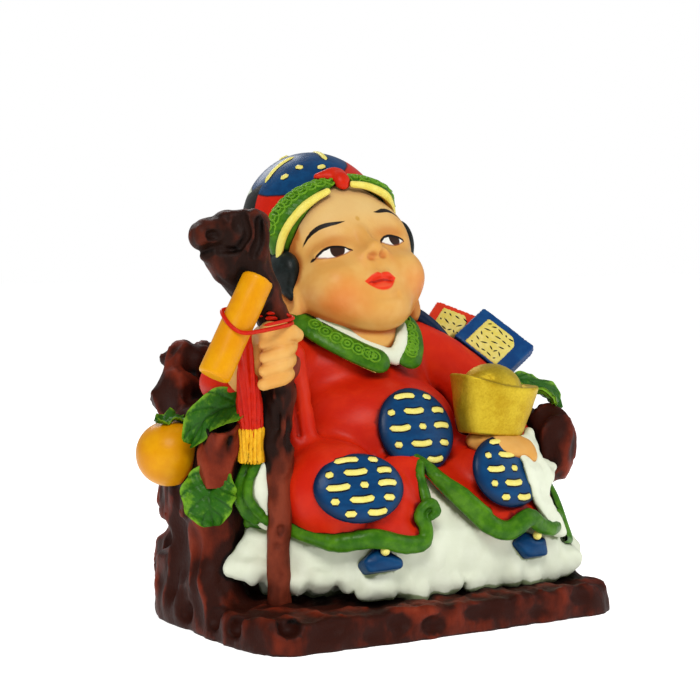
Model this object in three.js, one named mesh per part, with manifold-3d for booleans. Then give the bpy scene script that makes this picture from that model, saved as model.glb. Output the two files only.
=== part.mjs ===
// A seated deity of wealth: a small painted resin casting, in millimetres, +Z up.
// The front faces -Y, and +X is the viewer's right. Lengths are real sizes.
// Places are given as x, y, z from the middle of the figure at the height of the table.

import * as THREE from 'three';
import { mergeVertices } from 'three/addons/utils/BufferGeometryUtils.js';
import Module from 'manifold-3d';

const wasm = await Module();
wasm.setup();

// Where the middle of the figure stands in the box round the whole piece
const MIDLINE = new THREE.Vector3( 3.75, -3.95, 0 );

// Free gap round the pieces that are glued into the main casting
const CLEARANCE = 0.35;

// How closely a modelled skin follows its lobes; higher is tighter
const SOFTNESS = 28;

// Detail that is smaller than this is smoothed away after joining
const FINENESS = 0.09;

// Base: an outline with its own reach and squareness on each side
const BASE = {
	centre: [ -1.3, 5 ], left: 52.3, right: 55, front: 48, back: 46, height: 8, shoulder: 5.6,
	backPower: 2.05, frontLeftPower: 4.6, frontRightPower: 11, points: 36,
	footShrink: 0.99, topShrink: 0.972, dent: 0.008, dentGrain: 5,
};

// Throne: levels are height, then the part of the half width and half depth
const THRONE = {
	centre: [ -1.5, 29.5 ], halfWidth: 42.5, halfDepth: 20.5, power: 2.3, points: 20, barkDepth: 0.8,
	levels: [ [ 2, 1, 1 ], [ 24, 0.98, 0.96 ], [ 46, 0.97, 0.88 ], [ 60, 0.93, 0.74 ], [ 69, 0.74, 0.4 ] ],
};

// Arm rests: levels are height, half width, half depth
const ARM_REST = {
	offset: 45.2, centreY: 4, power: 2.5, points: 12, barkDepth: 0.4,
	levels: [ [ 2, 7.6, 18 ], [ 42, 7, 16 ], [ 55, 5.2, 11 ] ],
};
const SEAT = { centre: [ -1, 8 ], halfWidth: 42, halfDepth: 22, bottom: 3, top: 30, power: 3, points: 12 };
const STUMP = {
	line: [ [ -47.5, -6, 34 ], [ -49.2, -13, 42 ], [ -49.6, -15.5, 51.5 ] ], radius: 5, taper: 0.8,
	hollow: [ [ -49.5, -15.2, 47.5 ], [ -49.8, -16.2, 55 ] ], hollowRadius: 2.7,
};
const KNOT = {
	centre: [ 48.6, -17, 42 ], radii: [ 6.2, 8, 10.5 ],
	branch: [ [ 45, 6, 44 ], [ 48.6, -17, 43 ] ], branchRadius: 7.2,
};
const SHOULDER_KNOB = { centre: [ -45.6, 18, 56.5 ], radii: [ 5.8, 8, 6.4 ] };
const FRUIT = { centre: [ -55, 3, 43.3 ], radius: 8.2 };

// Leaves: the line from stalk to tip, the way the face looks, the width and the thickness
const LEAVES = [
	{ line: [ [ -58.5, 3, 51.3 ], [ -50, 3, 51.6 ] ], face: [ 0, -0.3, 1 ], width: 5, thickness: 1.2 },
	{ line: [ [ -45.5, -15.5, 57.5 ], [ -53.5, -8, 51 ] ], face: [ -4.5, -7, 5.5 ], width: 13, thickness: 2.4 },
	{ line: [ [ -51, -11, 41 ], [ -52.6, -13.5, 28.5 ] ], face: [ -6, -8, 1 ], width: 12.5, thickness: 2.4 },
	{ line: [ [ 38.5, -13, 58.6 ], [ 51, -15, 52.8 ] ], face: [ 0.1, -0.5, 0.85 ], width: 8, thickness: 2 },
];
const LEAF_WAVE = 0.6;
const LEAF_PROFILE = [ [ -1, 0.5 ], [ -0.5, 0.15 ], [ 0, -0.35 ], [ 0.5, 0.15 ], [ 1, 0.5 ] ];
const TWIG = { line: [ [ 43, 0, 50 ], [ 45, -13, 55 ] ], radius: 2.6 };

// Robe: lobes are a centre and three radii; the paired ones are mirrored to the other side
const ROBE = {
	heart: [ 0, -2, 44 ],
	lobes: [
		[ [ 0, 9, 58 ], [ 23.5, 18.5, 20 ] ],
		[ [ 0, -0.4, 47 ], [ 24, 22.6, 15.5 ] ],
		[ [ 0, 9, 66 ], [ 24, 11, 11 ] ],
	],
	paired: [
		[ [ 15, 2, 34 ], [ 14, 16, 12 ] ],
		[ [ 20.5, -12, 35 ], [ 13, 14, 12.4 ] ],
		[ [ 23.6, -22.3, 34.8 ], [ 12.6, 12, 12.2 ] ],
	],
};

// The hem line of each front panel of the robe
const HEMS = [
	{
		middle: -20,
		line: [
			[ -39, -11, 27 ], [ -32, -18.5, 26.5 ], [ -27, -31, 22.5 ], [ -19.5, -35.6, 23.6 ],
			[ -13, -36, 22 ], [ -6.5, -35.5, 25 ], [ -7, -33, 29.5 ], [ -3.5, -30, 34 ], [ 1.2, -26, 39.9 ],
		],
	},
	{
		middle: 20,
		line: [
			[ -1, -25.4, 39.2 ], [ 6, -29, 33 ], [ 11, -32.5, 27.5 ], [ 15.5, -36, 22.5 ], [ 20, -37, 22 ],
			[ 26, -37, 25.3 ], [ 31, -35.5, 21.5 ], [ 37, -33.5, 22.5 ], [ 43, -27, 24.5 ],
		],
	},
];
const PANEL = { steps: 13, gather: 0.55, kneeHeight: 37, kneeY: -14, backY: -8 };

// Underskirt: levels are height, half width, half depth
const SKIRT = {
	centre: [ 0, -3 ], points: 38, backPower: 3, frontLeftPower: 1.6, frontRightPower: 5.5,
	levels: [ [ 7, 48.5, 28.5 ], [ 10.5, 50.5, 30 ], [ 16, 49.5, 29.5 ], [ 30, 36, 24 ] ],
	scallops: 13, puffBelow: 15, puff: 0.9, fold: 0.5,
};
const TOES = { places: [ [ -16.6, -31.6, 19 ], [ 29.5, -32, 18.6 ] ], radii: [ 6, 5.5, 3.2 ], bead: 1.1 };

// Sleeves: an arm line, and a fall of cloth as height, x, y, half width, half depth
const RAISED_ARM = {
	line: [ [ -17, 8, 67 ], [ -30, 3, 62 ], [ -41, -5, 59.5 ], [ -47, -9, 60.5 ] ], radius: 9, taper: 2.6,
	fall: [
		[ 60, -38, -9, 7, 6 ], [ 52, -39.5, -11, 7, 6.5 ], [ 42, -41, -12.5, 6.6, 6.5 ],
		[ 34, -42.6, -13.5, 6, 6.2 ], [ 28, -41, -14.5, 5, 5.5 ],
	],
	rim: [ [ -38.5, -18, 43.6 ], [ -43.5, -17.8, 37 ], [ -43.2, -18, 31.5 ], [ -38.5, -17.5, 27 ] ],
};
const RESTING_ARM = {
	line: [ [ 16, 8, 67 ], [ 27, 3, 61 ], [ 35, -4, 53 ], [ 34, -13, 46.5 ] ], radius: 9.2, taper: 1.6,
	fall: [
		[ 50, 35.5, -12, 6, 9 ], [ 42, 36.8, -15, 5.6, 9 ], [ 34, 37.8, -17, 5.4, 9 ],
		[ 26, 39.5, -18.5, 5.2, 8.5 ], [ 19.5, 42, -20, 3, 5.5 ],
	],
	rim: [ [ 43, -19, 38 ], [ 42.4, -23.6, 31 ], [ 43.4, -24.6, 24.5 ], [ 43.4, -24.4, 18.8 ] ],
};
const SLEEVE_POWER = 2.2;
const RIM_RADIUS = 1.25;

// Hands
const FIST = { height: 68.5, palm: [ 6.2, 6.4, 7.2 ], fingers: 4, finger: [ 6.4, 4.2, 1.9 ], pitch: 3.6 };
const WRIST = { from: [ -9.5, 10.5, -7.5 ], radius: 4.6 };
const PALM = { radii: [ 9.6, 8, 3.6 ], turn: [ 0.1, 0.12, -0.3 ], fingerRadius: 1.8, fingers: 3 };

// Head: lobes as for the robe, about the middle of the jaw, before the head leans back
const HEAD = {
	centre: [ 0, 6, 86 ], heart: [ 0, 3, 5 ], tilt: THREE.MathUtils.degToRad( 27.5 ),
	lobes: [
		[ [ 0, 0, -3 ], [ 18, 14.6, 14.8 ] ],
		[ [ 0, 8.5, 13 ], [ 18.8, 19, 20 ] ],
		[ [ 0, 2.6, 11 ], [ 16.2, 14.4, 14 ] ],
		[ [ 0, -12.6, 0.8 ], [ 3.2, 3.2, 2.8 ] ],
		[ [ 0, -8.2, -13.4 ], [ 8, 4.8, 4.8 ] ],
	],
	paired: [
		[ [ 17.6, 4.5, -4.5 ], [ 3, 4.4, 6.4 ] ],
		[ [ 18, 2.5, 3 ], [ 3.6, 4, 7 ] ],
	],
};

// Hat: the band climbs from beside each ear to the knot over the forehead
const HAT = {
	crown: [ 0, 10.5, 19.5 ], crownRadii: [ 19.8, 19.2, 21.6 ],
	knot: [ 0, -10.4, 23.4 ], knotRadii: [ 2.4, 2, 2.8 ],
	bandHalfWidth: 18.6, bandDepth: 11.8, bandY: 2, bandLow: 6, bandClimb: 16.5, spread: 1.75, steps: 14,
	bandProfile: [ [ -0.5, -1.6 ], [ 1.6, -1 ], [ 1.8, 0.9 ], [ 1.4, 6 ], [ -4, 6 ], [ -4, -1 ] ],
	cutTilt: 0.42, cutCentre: [ 0, 2, -7.5 ], cutSize: [ 80, 80, 40 ],
};

const COLLAR = {
	lapels: [
		[ [ -15.5, 3, 74 ], [ -11, -4.5, 70 ], [ -4.5, -9, 65.5 ], [ 2.5, -11, 61.5 ] ],
		[ [ 13, 1, 75 ], [ 12.5, -4.5, 70.5 ], [ 9.5, -8.5, 66 ], [ 6, -10.5, 62.5 ] ],
	],
	halfWidth: 3, flat: 0.5, neck: [ 0, 4, 71 ], neckRadii: [ 12.5, 13, 8 ], neckTurn: [ 0.2, 0, 0 ],
};

// Round badges: a place on the cloth, the way it faces, half width and half height
const ROUNDELS = [
	{ place: [ 0, -23.3, 49 ], normal: [ 0, -0.94, 0.34 ], halfWidth: 11, halfHeight: 11 },
	{ place: [ -23.6, -34.6, 37 ], normal: [ -0.12, -0.93, 0.35 ], halfWidth: 11.6, halfHeight: 9.6 },
	{ place: [ 23.6, -34.6, 37 ], normal: [ 0.12, -0.93, 0.35 ], halfWidth: 11.6, halfHeight: 9.6 },
];
const ROUNDEL_RISE = 0.7;
const ROUNDEL_DEPTH = 2.2;

// Books: the far corner of the cover, and its edges along the spine and across from there
const BOOKS = [
	{ corner: [ 34, 15, 79.6 ], spine: [ 7.2, -12, -4.8 ], width: [ -10.4, -1.5, -11.9 ], thickness: 4.6 },
	{ corner: [ 42, 4, 77.9 ], spine: [ 8, -11.7, -10.1 ], width: [ -11.2, -1, -7.8 ], thickness: 4.8 },
];
const BOOK_REST = { centre: [ 38, 10, 61 ], radii: [ 9, 10, 9 ] };

// Staff: places of its parts are from the middle of its foot, with heights from the table
const STAFF = {
	foot: [ -37.6, -20.6 ], radius: 3.1, sink: 3, neckSwell: 3.4, swellFrom: 0.84, swellTo: 0.97,
	line: [ [ 0, 0, 30 ], [ 0, 0, 58 ], [ 0, 0, 76 ], [ -3, 1, 84 ], [ -7, 2, 92 ] ],
	steps: 14, grain: 5, rough: 0.3,
};
const DRAGON = {
	heart: [ -10, 2, 95.5 ],
	lobes: [
		[ [ -7.5, 2, 95.5 ], [ 8, 5.6, 6.4 ] ],
		[ [ -15.5, 2, 97 ], [ 6.8, 4.2, 4.2 ] ],
		[ [ -13.5, 2, 92 ], [ 6.4, 3.6, 2.8 ] ],
		[ [ -4, 1.5, 98.6 ], [ 4.6, 4.4, 4.4 ] ],
		[ [ -5, 2, 89 ], [ 6.4, 5.4, 6 ] ],
	],
};
const SCROLL = { line: [ [ -7.6, -5.9, 88 ], [ -19.6, -5.9, 63.5 ] ], radius: 3.9 };
const HOLD = { line: [ [ -3, 0, 84 ], [ -8.6, -4, 82 ] ], radius: 3.4 };
const CORD = {
	line: [
		[ -15.4, -5.5, 77 ], [ -12.5, -10.4, 75.6 ], [ -6.5, -8.5, 75.4 ], [ 1, -6.6, 77 ],
		[ 4.2, -2.5, 78.2 ], [ 1, 3, 78.2 ], [ -8, 0.5, 78 ],
	],
	radius: 0.8,
};
const TASSEL = {
	line: [ [ -9.4, -7.4, 75 ], [ -9.6, -6.2, 66 ], [ -8, -5, 60 ], [ -5.6, -3.4, 49 ] ],
	radius: 1.4, growth: 1.4,
	fringe: [ [ -5.2, -2.8, 50 ], [ -5.1, -2.4, 42.8 ] ], fringeRadius: 3.1,
};

// Ingot: levels are the rise and the part of the full length and width
const INGOT = {
	centre: [ 24, -24.5 ], bottom: 46, height: 12.8, halfLength: 12.4, halfWidth: 8.4, points: 20, power: 2.1,
	levels: [ [ 0, 0.62 ], [ 5, 0.78 ], [ 12.8, 1 ] ], endLift: 2.6, wall: 0.9,
	scoopRise: 3.4, scoopDepth: 6.2, domeDrop: 0.5, domeRadii: [ 7.4, 6.4, 6.2 ],
};

// Small helpers

function vec( x, y, z ) {

	return new THREE.Vector3( x, y, z );

}

function shifted( [ x, y, z ], [ dx, dy ] ) {

	return [ x + dx, y + dy, z ];

}

// Smooth lumpy field between -1 and 1, used for the rough base and the staff
function lumps( x, y, z, grain ) {

	const a = Math.sin( x / grain + 1.7 * Math.sin( z / grain + 1 ) );
	const b = Math.sin( y / grain + 1.3 * Math.sin( x / grain - 1 ) );
	const c = Math.sin( z / grain * 0.8 + 1.5 * Math.sin( y / grain + 2 ) );
	return ( a + b + c ) / 3;

}

// Upright grooves round a trunk
function bark( seed, amount ) {

	return ( angle, z ) => {

		const broad = Math.sin( 7 * angle + z / 6 + seed );
		const narrow = Math.sin( 12 * angle - z / 4 + 2 * seed );
		return amount * ( broad + 0.7 * narrow );

	};

}

// Closed solids

function signedVolume( positions, index ) {

	let volume = 0;
	const a = vec( 0, 0, 0 );
	const b = vec( 0, 0, 0 );
	const c = vec( 0, 0, 0 );

	for ( let i = 0; i < index.length; i += 3 ) {

		a.fromArray( positions, index[ i ] * 3 );
		b.fromArray( positions, index[ i + 1 ] * 3 );
		c.fromArray( positions, index[ i + 2 ] * 3 );
		volume += a.dot( b.cross( c ) ) / 6;

	}

	return volume;

}

function solidOf( geometry ) {

	const bare = geometry.clone();
	bare.deleteAttribute( 'normal' );
	bare.deleteAttribute( 'uv' );
	const merged = mergeVertices( bare, 1e-4 );
	const positions = new Float32Array( merged.attributes.position.array );
	const index = new Uint32Array( merged.index.array );

	if ( signedVolume( positions, index ) < 0 ) {

		index.reverse();

	}

	return new wasm.Manifold( new wasm.Mesh( { numProp: 3, vertProperties: positions, triVerts: index } ) );

}

function geometryOf( solid ) {

	const mesh = solid.getMesh();
	const places = new Float32Array( mesh.vertProperties );
	const geometry = new THREE.BufferGeometry();
	geometry.setAttribute( 'position', new THREE.BufferAttribute( places, 3 ) );
	geometry.setIndex( new THREE.BufferAttribute( new Uint32Array( mesh.triVerts ), 1 ) );
	geometry.computeVertexNormals();
	return geometry;

}

function joined( solids ) {

	return solids.reduce( ( whole, next ) => whole.add( next ) );

}

// A closed skin over rings that all have the same number of points
function loft( rings ) {

	const count = rings[ 0 ].length;
	const positions = rings.flat().flatMap( ( point ) => point.toArray() );
	const index = [];

	for ( let i = 0; i < rings.length - 1; i ++ ) {

		for ( let j = 0; j < count; j ++ ) {

			const a = i * count + j;
			const b = i * count + ( j + 1 ) % count;
			index.push( a, b, b + count, a, b + count, a + count );

		}

	}

	for ( const ring of [ rings[ 0 ], rings[ rings.length - 1 ] ] ) {

		const middle = ring.reduce( ( sum, point ) => sum.add( point ), vec( 0, 0, 0 ) );
		positions.push( ...middle.divideScalar( count ).toArray() );

	}

	const firstMiddle = rings.length * count;
	const lastStart = ( rings.length - 1 ) * count;

	for ( let j = 0; j < count; j ++ ) {

		const next = ( j + 1 ) % count;
		index.push( firstMiddle, next, j );
		index.push( firstMiddle + 1, lastStart + j, lastStart + next );

	}

	const geometry = new THREE.BufferGeometry();
	geometry.setAttribute( 'position', new THREE.Float32BufferAttribute( positions, 3 ) );
	geometry.setIndex( index );
	return solidOf( geometry );

}

function ball( centre, radii, across, rows, turn = [ 0, 0, 0 ] ) {

	const geometry = new THREE.SphereGeometry( 1, across, rows );
	geometry.scale( ...radii );
	geometry.rotateX( turn[ 0 ] );
	geometry.rotateY( turn[ 1 ] );
	geometry.rotateZ( turn[ 2 ] );
	geometry.translate( ...centre );
	return solidOf( geometry );

}

// How far a ray from the heart reaches before it leaves an egg-shaped lobe, or 0
function reach( heart, ray, [ centre, radii ] ) {

	const scale = vec( ...radii );
	const from = heart.clone().sub( vec( ...centre ) ).divide( scale );
	const along = ray.clone().divide( scale );
	const a = along.lengthSq();
	const b = from.dot( along );
	const root = b * b - a * ( from.lengthSq() - 1 );
	return root < 0 ? 0 : Math.max( 0, ( - b + Math.sqrt( root ) ) / a );

}

// One skin drawn over several egg-shaped lobes, as modelling clay would be
function modelled( heart, lobes, across, rows ) {

	const geometry = new THREE.SphereGeometry( 1, across, rows );
	geometry.rotateX( Math.PI / 2 );
	const from = vec( ...heart );
	const place = geometry.attributes.position;

	for ( let i = 0; i < place.count; i ++ ) {

		const ray = vec( place.getX( i ), place.getY( i ), place.getZ( i ) ).normalize();
		const powers = lobes.map( ( lobe ) => Math.pow( reach( from, ray, lobe ), SOFTNESS ) );
		const sum = powers.reduce( ( total, power ) => total + power, 0 );
		ray.multiplyScalar( Math.pow( sum, 1 / SOFTNESS ) ).add( from );
		place.setXYZ( i, ray.x, ray.y, ray.z );

	}

	return solidOf( geometry );

}

// The lobes of both sides, from those of the middle and those of the +X side
function bothSides( { lobes, paired } ) {

	const other = paired.map( ( [ [ x, y, z ], radii ] ) => [ [ - x, y, z ], radii ] );
	return [ ...lobes, ...paired, ...other ];

}

// A limb or branch: round rings along a curve, with its radius by length
function limb( points, radiusAt, { sides, steps, flat = 1, grain = 1, rough = 0 } ) {

	const curve = new THREE.CatmullRomCurve3( points.map( ( p ) => vec( ...p ) ) );
	const frames = curve.computeFrenetFrames( steps, false );
	const rings = [];

	for ( let i = 0; i <= steps; i ++ ) {

		const centre = curve.getPointAt( i / steps );
		const ring = [];

		for ( let j = 0; j < sides; j ++ ) {

			const angle = j / sides * Math.PI * 2;
			const spoke = frames.normals[ i ].clone().multiplyScalar( Math.cos( angle ) * flat );
			spoke.addScaledVector( frames.binormals[ i ], Math.sin( angle ) );
			const skin = centre.clone().addScaledVector( spoke, 4 );
			const bump = rough * lumps( skin.x, skin.y, skin.z, grain );
			ring.push( centre.clone().addScaledVector( spoke, radiusAt( i / steps ) + bump ) );

		}

		rings.push( ring );

	}

	return loft( rings );

}

// A rounded-square outline; its power gives the squareness for each direction
function superRing( [ cx, cy ], [ hx, hy ], z, power, count, bump = () => 0 ) {

	const ring = [];

	for ( let j = 0; j < count; j ++ ) {

		const angle = ( j + 0.5 ) / count * Math.PI * 2;
		const c = Math.cos( angle );
		const s = Math.sin( angle );
		const p = power( c, s );
		const grow = 1 / Math.pow( Math.pow( Math.abs( c ), p ) + Math.pow( Math.abs( s ), p ), 1 / p );
		const out = 1 + bump( angle, z ) / Math.hypot( hx * c, hy * s );
		ring.push( vec( cx + hx * c * grow * out, cy + hy * s * grow * out, z ) );

	}

	return ring;

}

// A pile of outlines, each given as height, centre x and y, half width and half depth
function pile( levels, power, count ) {

	return loft( levels.map( ( [ z, x, y, hx, hy ] ) =>
		superRing( [ x, y ], [ hx, hy ], z, () => power, count ) ) );

}

// A leaf: a plate along a line, wider in the middle, creased along its rib and wavy
function leafPlate( { line, face, width, thickness } ) {

	const start = vec( ...line[ 0 ] );
	const along = vec( ...line[ 1 ] ).sub( start );
	const normal = vec( ...face ).normalize();
	const side = along.clone().cross( normal ).normalize();
	const rings = [];
	const steps = 4;

	for ( let i = 0; i <= steps; i ++ ) {

		const t = i / steps;
		const half = width / 2 * ( 0.12 + 0.88 * Math.pow( Math.sin( Math.PI * ( 0.06 + 0.9 * t ) ), 0.75 ) );
		const wave = LEAF_WAVE * Math.sin( t * 9 );
		const centre = start.clone().addScaledVector( along, t );
		const edge = ( direction ) => LEAF_PROFILE.map( ( [ s, lift ] ) => {

			const point = centre.clone().addScaledVector( side, s * half );
			return point.addScaledVector( normal, direction * thickness / 2 + lift + wave );

		} );
		rings.push( [ ...edge( 1 ), ...edge( - 1 ).reverse() ] );

	}

	return loft( rings );

}

// Base and throne

function makeBase() {

	const [ cx, cy ] = BASE.centre;
	const levels = [ [ 0, BASE.footShrink ], [ BASE.shoulder, 1 ], [ BASE.height, BASE.topShrink ] ];
	const rings = levels.map( ( [ z, shrink ] ) => {

		const ring = [];

		for ( let j = 0; j < BASE.points; j ++ ) {

			const angle = ( j + 0.5 ) / BASE.points * Math.PI * 2;
			const c = Math.cos( angle );
			const s = Math.sin( angle );
			const frontPower = c < 0 ? BASE.frontLeftPower : BASE.frontRightPower;
			const p = s > 0 ? BASE.backPower : frontPower;
			const round = Math.pow( Math.pow( Math.abs( c ), p ) + Math.pow( Math.abs( s ), p ), 1 / p );
			const x = ( c < 0 ? BASE.left : BASE.right ) * c * shrink / round;
			const y = ( s > 0 ? BASE.back : BASE.front ) * s * shrink / round;
			const dent = z === BASE.shoulder ? 1 + BASE.dent * lumps( x, y, z, BASE.dentGrain ) : 1;
			ring.push( vec( cx + x * dent, cy + y * dent, z ) );

		}

		return ring;

	} );
	return loft( rings );

}

function makeThrone() {

	const { centre, halfWidth, halfDepth, power, points, barkDepth } = THRONE;
	const back = loft( THRONE.levels.map( ( [ z, w, d ] ) =>
		superRing( centre, [ halfWidth * w, halfDepth * d ], z, () => power, points, bark( 1, barkDepth ) ) ) );

	const arm = ( side ) => loft( ARM_REST.levels.map( ( [ z, hx, hy ] ) => {

		const middle = [ side * ARM_REST.offset, ARM_REST.centreY ];
		const grooves = bark( 3 + side, ARM_REST.barkDepth );
		return superRing( middle, [ hx, hy ], z, () => ARM_REST.power, ARM_REST.points, grooves );

	} ) );

	const seat = loft( [ SEAT.bottom, SEAT.top ].map( ( z ) =>
		superRing( SEAT.centre, [ SEAT.halfWidth, SEAT.halfDepth ], z, () => SEAT.power, SEAT.points ) ) );

	const stump = limb( STUMP.line, ( t ) => STUMP.radius - STUMP.taper * t, { sides: 8, steps: 2 } );
	const hollow = limb( STUMP.hollow, () => STUMP.hollowRadius, { sides: 6, steps: 1 } );
	const knot = ball( KNOT.centre, KNOT.radii, 10, 7 );
	const branch = limb( KNOT.branch, () => KNOT.branchRadius, { sides: 8, steps: 1 } );
	const knob = ball( SHOULDER_KNOB.centre, SHOULDER_KNOB.radii, 10, 6 );
	return joined( [ back, arm( - 1 ), arm( 1 ), seat, stump, knot, branch, knob ] ).subtract( hollow );

}

function makeFruitAndLeaves() {

	const { centre, radius } = FRUIT;
	const fruit = ball( centre, [ radius, radius, radius ], 14, 8, [ Math.PI / 2, 0, 0 ] );
	const twig = limb( TWIG.line, () => TWIG.radius, { sides: 6, steps: 1 } );
	return joined( [ fruit, twig, ...LEAVES.map( leafPlate ) ] );

}

// The seated body

function makeRobe() {

	return joined( [ modelled( ROBE.heart, bothSides( ROBE ), 24, 15 ), ...HEMS.map( makeRobePanel ) ] );

}

// A panel hangs from the knee down to a hem that is rolled forward
function makeRobePanel( { line, middle } ) {

	const curve = new THREE.CatmullRomCurve3( line.map( ( p ) => vec( ...p ) ) );
	const rings = [];

	for ( let i = 0; i <= PANEL.steps; i ++ ) {

		const low = curve.getPointAt( i / PANEL.steps );
		const x = middle + ( low.x - middle ) * PANEL.gather;
		rings.push( [
			vec( low.x, low.y - 1.4, low.z ),
			vec( low.x, low.y - 0.6, low.z + 1.5 ),
			vec( low.x * 0.94 + x * 0.06, low.y + 1.2, low.z + 2 ),
			vec( x, PANEL.kneeY, Math.max( PANEL.kneeHeight, low.z + 3 ) ),
			vec( low.x * 0.9, PANEL.backY, low.z + 1 ),
			vec( low.x, low.y, low.z - 1.3 ),
		] );

	}

	return loft( rings );

}

// The white underskirt, with a puffed and scalloped hem on the base, and the two toes
function makeSkirt() {

	const depth = ( z ) => ( z < SKIRT.puffBelow ? SKIRT.puff : SKIRT.fold );
	const scallop = ( angle, z ) => depth( z ) * Math.sin( SKIRT.scallops * angle + 0.6 );
	const front = ( c ) => ( c < 0 ? SKIRT.frontLeftPower : SKIRT.frontRightPower );
	const power = ( c, s ) => ( s > 0 ? SKIRT.backPower : front( c ) );
	const cloth = loft( SKIRT.levels.map( ( [ z, hx, hy ] ) =>
		superRing( SKIRT.centre, [ hx, hy ], z, power, SKIRT.points, scallop ) ) );
	const toe = ( place ) => ball( place, TOES.radii, 8, 6, [ -0.5, 0, 0 ] );
	const bead = ( [ x, y, z ] ) => ball( [ x + 0.4, y - 4.6, z + 1.6 ], Array( 3 ).fill( TOES.bead ), 6, 4 );
	return joined( [ cloth, ...TOES.places.map( toe ), ...TOES.places.map( bead ) ] );

}

// An arm in its bell sleeve, with the rolled rim at the open end
function makeSleeve( { line, radius, taper, fall, rim } ) {

	return joined( [
		limb( line, ( t ) => radius - taper * t, { sides: 8, steps: 3 } ),
		pile( fall, SLEEVE_POWER, 10 ),
		limb( rim, () => RIM_RADIUS, { sides: 5, steps: 5 } ),
	] );

}

// A fist round the staff, and a cupped palm under the ingot
function makeHands() {

	const [ sx, sy ] = STAFF.foot;
	const z = FIST.height;
	const lobes = [ [ [ sx - 0.6, sy + 1, z + 0.2 ], FIST.palm ] ];

	for ( let i = 0; i < FIST.fingers; i ++ ) {

		lobes.push( [ [ sx + 0.4, sy - 3.6, z + 4.6 - i * FIST.pitch ], FIST.finger ] );

	}

	const fist = modelled( [ sx, sy, z ], lobes, 13, 12 );
	const [ wx, wy, wz ] = WRIST.from;
	const wristLine = [ [ sx + wx, sy + wy, z + wz ], [ sx, sy + 0.5, z ] ];
	const wrist = limb( wristLine, () => WRIST.radius, { sides: 8, steps: 1 } );

	const [ ix, iy ] = INGOT.centre;
	const cup = ball( [ ix + 2.5, iy + 2, INGOT.bottom - 2.6 ], PALM.radii, 12, 6, PALM.turn );
	const fingers = [];

	for ( let i = 0; i < PALM.fingers; i ++ ) {

		const root = [ ix + 3 - i * 3.4, iy, INGOT.bottom - 3 ];
		const tip = [ ix - 4.4 - i * 1.4, iy - 5.5 + i * 2.4, INGOT.bottom - 1.8 ];
		fingers.push( limb( [ root, tip ], () => PALM.fingerRadius, { sides: 6, steps: 1 } ) );

	}

	return joined( [ fist, wrist, cup, ...fingers ] );

}

// Head and hat

function leanedBack( solid ) {

	const geometry = geometryOf( solid );
	geometry.rotateX( - HEAD.tilt );
	geometry.translate( ...HEAD.centre );
	return solidOf( geometry );

}

function makeHead() {

	return leanedBack( modelled( HEAD.heart, bothSides( HEAD ), 22, 15 ) );

}

function makeHat() {

	const rings = [];

	for ( let i = 0; i <= HAT.steps; i ++ ) {

		const side = i / HAT.steps * 2 - 1;
		const angle = side * HAT.spread;
		const climb = HAT.bandLow + HAT.bandClimb * ( 1 - Math.pow( Math.abs( side ), 1.6 ) );
		rings.push( HAT.bandProfile.map( ( [ out, up ] ) => {

			const x = ( HAT.bandHalfWidth + out ) * Math.sin( angle );
			const y = HAT.bandY - ( HAT.bandDepth + out ) * Math.cos( angle ) + up * 0.4;
			return vec( x, y, climb + up );

		} ) );

	}

	const crown = ball( HAT.crown, HAT.crownRadii, 17, 10 );
	const knot = ball( HAT.knot, HAT.knotRadii, 8, 6 );
	const under = new THREE.BoxGeometry( ...HAT.cutSize );
	under.rotateX( HAT.cutTilt );
	under.translate( ...HAT.cutCentre );
	return leanedBack( joined( [ crown.subtract( solidOf( under ) ), loft( rings ), knot ] ) );

}

function makeCollar() {

	const { halfWidth, flat } = COLLAR;
	const lapels = COLLAR.lapels.map( ( line ) => limb( line, () => halfWidth, { sides: 6, steps: 4, flat } ) );
	return joined( [ ...lapels, ball( COLLAR.neck, COLLAR.neckRadii, 12, 6, COLLAR.neckTurn ) ] );

}

// A low round badge pressed onto the cloth
function makeRoundel( { place, normal, halfWidth, halfHeight } ) {

	const geometry = new THREE.SphereGeometry( 1, 15, 4 );
	geometry.rotateX( Math.PI / 2 );
	geometry.scale( halfWidth, halfHeight, ROUNDEL_DEPTH );
	geometry.applyMatrix4( new THREE.Matrix4().lookAt( vec( ...normal ), vec( 0, 0, 0 ), vec( 0, 0, 1 ) ) );
	const centre = vec( ...place ).addScaledVector( vec( ...normal ), ROUNDEL_RISE - ROUNDEL_DEPTH );
	geometry.translate( ...centre.toArray() );
	return solidOf( geometry );

}

function makeBook( { corner, spine, width, thickness } ) {

	const across = vec( ...spine );
	const down = vec( ...width );
	const geometry = new THREE.BoxGeometry( across.length(), down.length(), thickness );
	const normal = across.clone().cross( down ).normalize();
	const centre = vec( ...corner ).addScaledVector( across, 0.5 ).addScaledVector( down, 0.5 );
	centre.addScaledVector( normal, thickness / 2 );
	across.normalize();
	geometry.applyMatrix4( new THREE.Matrix4().makeBasis( across, normal.clone().cross( across ), normal ) );
	geometry.translate( ...centre.toArray() );
	return solidOf( geometry );

}

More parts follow.
